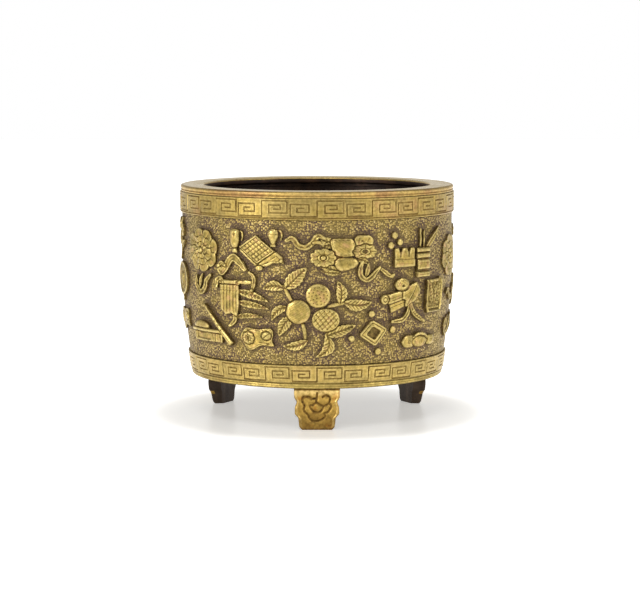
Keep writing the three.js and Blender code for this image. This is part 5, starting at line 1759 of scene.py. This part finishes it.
wall_foot, wall_head = node_heights("body_wall")
seat_low, seat_high = FRIEZE_FOOT + FIT, FRIEZE_HEAD - FIT
outer = wall_curve(seat_low, seat_high, 0, WALL_ROWS)
wall_profile = [
    *wall_curve(wall_foot, seat_low, -BAND_SEAT, SEAT_ROWS), *outer,
    (GROUND_RADIUS - BAND_SEAT, seat_high), (GROUND_RADIUS - BAND_SEAT, wall_head),
    (GROUND_RADIUS - WALL_THICKNESS, wall_head),
    *wall_curve(BASE_FOOT + DRAW_IN_HEIGHT, wall_foot, -WALL_THICKNESS, INSIDE_ROWS),
]
wall_points, wall_faces = turned(wall_profile, WALL_SEGMENTS)
wall_halo = np.zeros((len(wall_profile), WALL_SEGMENTS))
wall_angles = np.arange(WALL_SEGMENTS) * 2 * math.pi / WALL_SEGMENTS
outer_heights = np.array([z for _, z in outer])
# The ground is painted a little darker towards the lower band.
along_band = LOW_GROUND_DARKENING * smooth_step((seat_low + LOW_GROUND_DARKENING_HEIGHT - outer_heights) / (LOW_GROUND_DARKENING_HEIGHT - 1))
ground_start = SEAT_ROWS + 1
ground_end = ground_start + len(outer)
halo = np.maximum(halo_round_emblems(wall_angles, outer_heights), along_band)
wall_halo[ground_start:ground_end] = halo.T
first_inside = (ground_end + 2) * WALL_SEGMENTS
inside_faces = list(range(first_inside, len(wall_faces)))
add_piece("wall", wall_points, wall_faces, ground_material, ["body_wall"],
          {"halo": wall_halo.ravel()}, second=(dark_bronze, inside_faces))
print(f"wall {len(wall_faces)} faces, {triangle_count} triangles so far")

# %% [markdown]
# ## Feet
# Each foot is a thick plate with cusped sides, cast in one with the tenon on its top, and its front carries
# an incised scroll inside a raised rim. Level sections are stacked from the sole to the base, each as wide
# as the outline there; the front of each section is pushed in where a line is cut. The outline is given by
# half widths and heights, and the scroll by four smooth lines through points on them.

# %% Foot outline and scroll
FOOT_OUTLINE = [(6.4, 0), (7.45, 1.2), (7.8, 3.5), (8.05, 5.2), (9.3, 6.8), (9.45, 8.5), (9.3, 10.2),
                (8.7, 12.3), (9.6, 14.1), (9.8, 18.3)]
FOOT_THICKNESS = 5.2
FOOT_INNER_SHARE = 0.68
FOOT_KNEE = 0.5
FOOT_SOLE_RADIUS = 50.7
FOOT_TOP_RADIUS = 52.7
FOOT_TAPER = 1.6
FOOT_PITCH = 0.24
FOOT_ROWS = round(BASE_FOOT / FOOT_PITCH)
FOOT_COLUMNS = 80
LINE_WIDTH, LINE_DEPTH = 0.62, 0.42
ROLLED_EDGE = 0.75
SUNK_FROM, SUNK_DEPTH = 0.9, 0.30
PUFF_REACH, PUFF_DEPTH = 1.6, 0.20

SCROLLS = [
    [(0.05, 16.0), (-0.04, 14.1), (-0.39, 12.0)],
    [(-0.83, 13.7), (-2.24, 13.65), (-3.3, 14.36), (-4.7, 14.5), (-5.94, 14.2), (-6.2, 13.2), (-6.1, 11.97),
     (-5.33, 10.55), (-5.6, 8.78), (-5.06, 7.7), (-3.83, 6.47), (-3.3, 5.23), (-2.4, 4.17), (-1.53, 3.72),
     (0.23, 3.9), (1.64, 4.34), (2.87, 5.05), (3.4, 6.1), (3.23, 7.2), (4.46, 7.7), (5.34, 8.8), (5.87, 9.84),
     (5.78, 10.9), (5.17, 11.5), (5.43, 12.85), (5.34, 14.1), (4.46, 14.9), (3.58, 15.07), (2.35, 14.3)],
    [(-0.39, 11.97), (-1.53, 11.0), (-2.95, 10.55), (-2.6, 9.3), (-1.53, 8.16), (0.05, 7.62), (1.46, 8.07),
     (2.35, 9.13), (2.87, 10.2), (4.64, 11.26)],
    [(0, 11.8), (1.1, 11.1), (2.5, 10.55)],
]
print(f"foot: {FOOT_ROWS} sections, {FOOT_COLUMNS} faces across, {len(SCROLLS)} lines in its scroll")


def foot_sections():
    """Height, half width, outer radius and inner radius of each level section."""
    outline = curved(FOOT_OUTLINE, 10)
    z = np.linspace(0, BASE_FOOT, FOOT_ROWS + 1)
    share = z / BASE_FOOT
    knee = FOOT_KNEE * np.sin(math.pi * share)
    outer = FOOT_SOLE_RADIUS + (FOOT_TOP_RADIUS - FOOT_SOLE_RADIUS) * share + knee
    inner = outer - knee - FOOT_THICKNESS + FOOT_TAPER * (1 - share) ** 2
    return z, np.interp(z, outline[:, 1], outline[:, 0]), outer, inner


def carved_front(z, half, outer):
    """Across and out for each point of the front, how dark it is (hollows, and painted shade under the base)
    and how pale (crests, and a painted highlight near the top).
    """
    x = np.linspace(-1, 1, FOOT_COLUMNS + 1)[None, :] * half[:, None]
    height = z[:, None] + 0 * x
    lines = np.min([beside_line(x, height, curved(points, 6))[0] for points in SCROLLS], axis=0)
    edge = np.minimum(half[:, None] - np.abs(x), np.minimum(height + 0.25, BASE_FOOT + 0.6 - height))
    cut = smooth_step((LINE_WIDTH - lines) / (LINE_WIDTH * 0.6))
    sunk = SUNK_DEPTH * smooth_step((edge - SUNK_FROM) / 0.5)
    rolled = ROLLED_EDGE * (1 - np.sqrt(1 - np.clip(1 - edge / ROLLED_EDGE, 0, 1) ** 2))
    puffed = PUFF_DEPTH * smooth_step(1 - lines / PUFF_REACH)
    front = outer[:, None] - sunk - puffed - LINE_DEPTH * cut - rolled

    # The foot is darker along its sole and towards the bottom.
    low = smooth_step((1.9 - height) / 1.3)
    darker_towards_sole = 0.40 * smooth_step((9.5 - height) / 8)
    # Painted shade on the top of the foot, under the base's edge.
    painted_shade_under_base = smooth_step((height - BASE_FOOT + 1.2) / 0.4)
    recess = np.maximum.reduce([cut, 0.85 * low, darker_towards_sole, painted_shade_under_base])
    rim = 0.55 * smooth_step(1 - np.abs(edge - 0.85) / 0.65)
    # The top of the foot is painted paler, a painted highlight.
    painted_highlight_top = 0.75 * smooth_step((height - BASE_FOOT + 4.5) / 3)
    crest = np.maximum(rim * (1 - low), painted_highlight_top) * (1 - cut) * (1 - painted_shade_under_base)
    return x, front, recess, crest


# %% [markdown]
# Behind the front each section goes round the sides and the back, narrower there, as a cast foot is so that
# it leaves its mould. The faces are listed in rings, and the numbers of those behind and of those along the
# front's edges are kept, because these are dark bronze, except where a gilt patch at the cusp paints a
# highlight.

# %% Foot mesh
CUSP_HIGHLIGHT = (4.5, 5.9)
SIDE_STEPS = (0.3, 0.7, 1.0)
BACK_STEPS = 9
EDGE_COLUMNS = 5


def foot_rings():
    """Points of the foot as a grid of sections, its hollows and its crests."""
    z, half, outer, inner = foot_sections()
    x, front, front_recess, front_crest = carved_front(z, half, outer)
    start = outer - ROLLED_EDGE
    side_across = [(half * (1 + (FOOT_INNER_SHARE - 1) * step))[:, None] for step in SIDE_STEPS]
    side_out = [-(start + (inner - start) * step)[:, None] for step in SIDE_STEPS]
    back = FOOT_INNER_SHARE * np.linspace(1, -1, BACK_STEPS)[None, 1:]
    across = np.hstack([x, *side_across, half[:, None] * back, *(-side for side in side_across[1::-1])])
    out = np.hstack([-front, *side_out, -inner[:, None] + 0 * back, *side_out[1::-1]])
    recess, crest = np.zeros(across.shape), np.zeros(across.shape)
    recess[:, :FOOT_COLUMNS + 1], crest[:, :FOOT_COLUMNS + 1] = front_recess, front_crest
    return np.stack([across, out, z[:, None] + 0 * across], axis=-1), recess, crest


def foot_mesh():
    """Points and faces of the front foot, its hollows and crests, and its faces behind and at the edges."""
    grid, recess, crest = foot_rings()
    size = grid.shape[1]
    faces = [(r * size + k, r * size + (k + 1) % size, (r + 1) * size + (k + 1) % size, (r + 1) * size + k)
             for r in range(FOOT_ROWS) for k in range(size)]
    heights = grid[:, 0, 2]
    # A gilt patch at the cusp paints a highlight on the back feet.
    at_cusp_highlight = (CUSP_HIGHLIGHT[0] < heights) & (heights < CUSP_HIGHLIGHT[1])
    behind, edges = [], []
    for i in range(len(faces)):
        row, column = divmod(i, size)
        if column >= FOOT_COLUMNS:
            if not (at_cusp_highlight[row] and column in (FOOT_COLUMNS, size - 1)):
                behind.append(i)
        elif min(column, FOOT_COLUMNS - 1 - column) < EDGE_COLUMNS and not at_cusp_highlight[row]:
            edges.append(i)
    behind += [len(faces), len(faces) + 1]
    faces += [tuple(reversed(range(size))), tuple(FOOT_ROWS * size + k for k in range(size))]
    return grid.reshape(-1, 3), faces, recess.ravel(), crest.ravel(), behind, edges


# %% [markdown]
# The three feet are the same casting, turned by a third of a circle each. Only their fronts are gilt;
# behind, the bronze was left bare, and on the two back feet the edges are dark bronze too, except for a
# small gilt patch in the lower cusp, which is a painted highlight. Inside the burner a washer sits on each
# tenon, whose end was hammered over it.

# %% Feet and washers
TENON_RADIUS, TENON_ROOT = 1.5, 1
TENON_AXIS = FOOT_TOP_RADIUS - FOOT_THICKNESS + TENON_RADIUS
WASHER_RADIUS = 2.5
WASHER_BORE = TENON_RADIUS + FIT
FEET = {"front": 0, "back_right": 120, "back_left": 240}


def on_tenon_axis(profile, segments):
    """A small turned part on the axis of the front foot's tenon."""
    points, faces = turned(profile, segments)
    return np.array(points) - [0, TENON_AXIS, 0], faces


def rotated(points, degrees):
    """The points turned round the burner's axis."""
    turn = math.radians(degrees)
    x, y, z = points.T
    return np.stack([x * math.cos(turn) - y * math.sin(turn), x * math.sin(turn) + y * math.cos(turn), z], 1)


foot_points, foot_faces, foot_recess, foot_crest, foot_behind, foot_edges = foot_mesh()
root, top = BASE_FOOT - TENON_ROOT, node_heights("foot_front")[1]
tenon_points, tenon_faces = on_tenon_axis([
    (0, root), (TENON_RADIUS, root), (TENON_RADIUS, top - 0.35), (TENON_RADIUS - 0.1, top - 0.12),
    (TENON_RADIUS - 0.45, top), (0, top)], 32)
all_points = np.vstack([foot_points, tenon_points])
all_faces = foot_faces + [tuple(len(foot_points) + k for k in face) for face in tenon_faces]
plain = np.zeros(len(tenon_points))
foot_values = {"recess": np.concatenate([foot_recess, plain]), "crest": np.concatenate([foot_crest, plain])}
bare = foot_behind + list(range(len(foot_faces), len(all_faces)))

washer_foot, washer_head = node_heights("tenon_washer_front")
washer_points, washer_faces = on_tenon_axis([
    (WASHER_BORE, washer_foot), (WASHER_RADIUS, washer_foot), (WASHER_RADIUS, washer_head - 0.35),
    (WASHER_RADIUS - 0.12, washer_head - 0.1), (WASHER_RADIUS - 0.35, washer_head),
    (WASHER_BORE + 0.1, washer_head), (WASHER_BORE, washer_head - 0.1)], 48)

for name, degrees in FEET.items():
    # The back feet's edges are dark bronze too.
    worn = [] if name == "front" else foot_edges
    add_piece(f"{name}_foot", rotated(all_points, degrees), all_faces, foot_gilt,
              [f"foot_{name}"], foot_values, second=(foot_bronze, bare + worn))
    add_piece(f"{name}_washer", rotated(washer_points, degrees), washer_faces, dark_bronze,
              [f"tenon_washer_{name}"])
print(f"feet {len(all_faces)} faces each, {triangle_count} triangles in all")

# %% [markdown]
# The finished model should be as large as the solids. Both boxes are written down side by side, so that a
# piece that has grown too far shows at once.

# %% Sizes and finish
final_box = [list(corner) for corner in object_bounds()]
for label, box in (("CAD", cad_box), ("scene", final_box)):
    print(label, [round((high - low) / MM, 1) for low, high in zip(*box)], "mm")
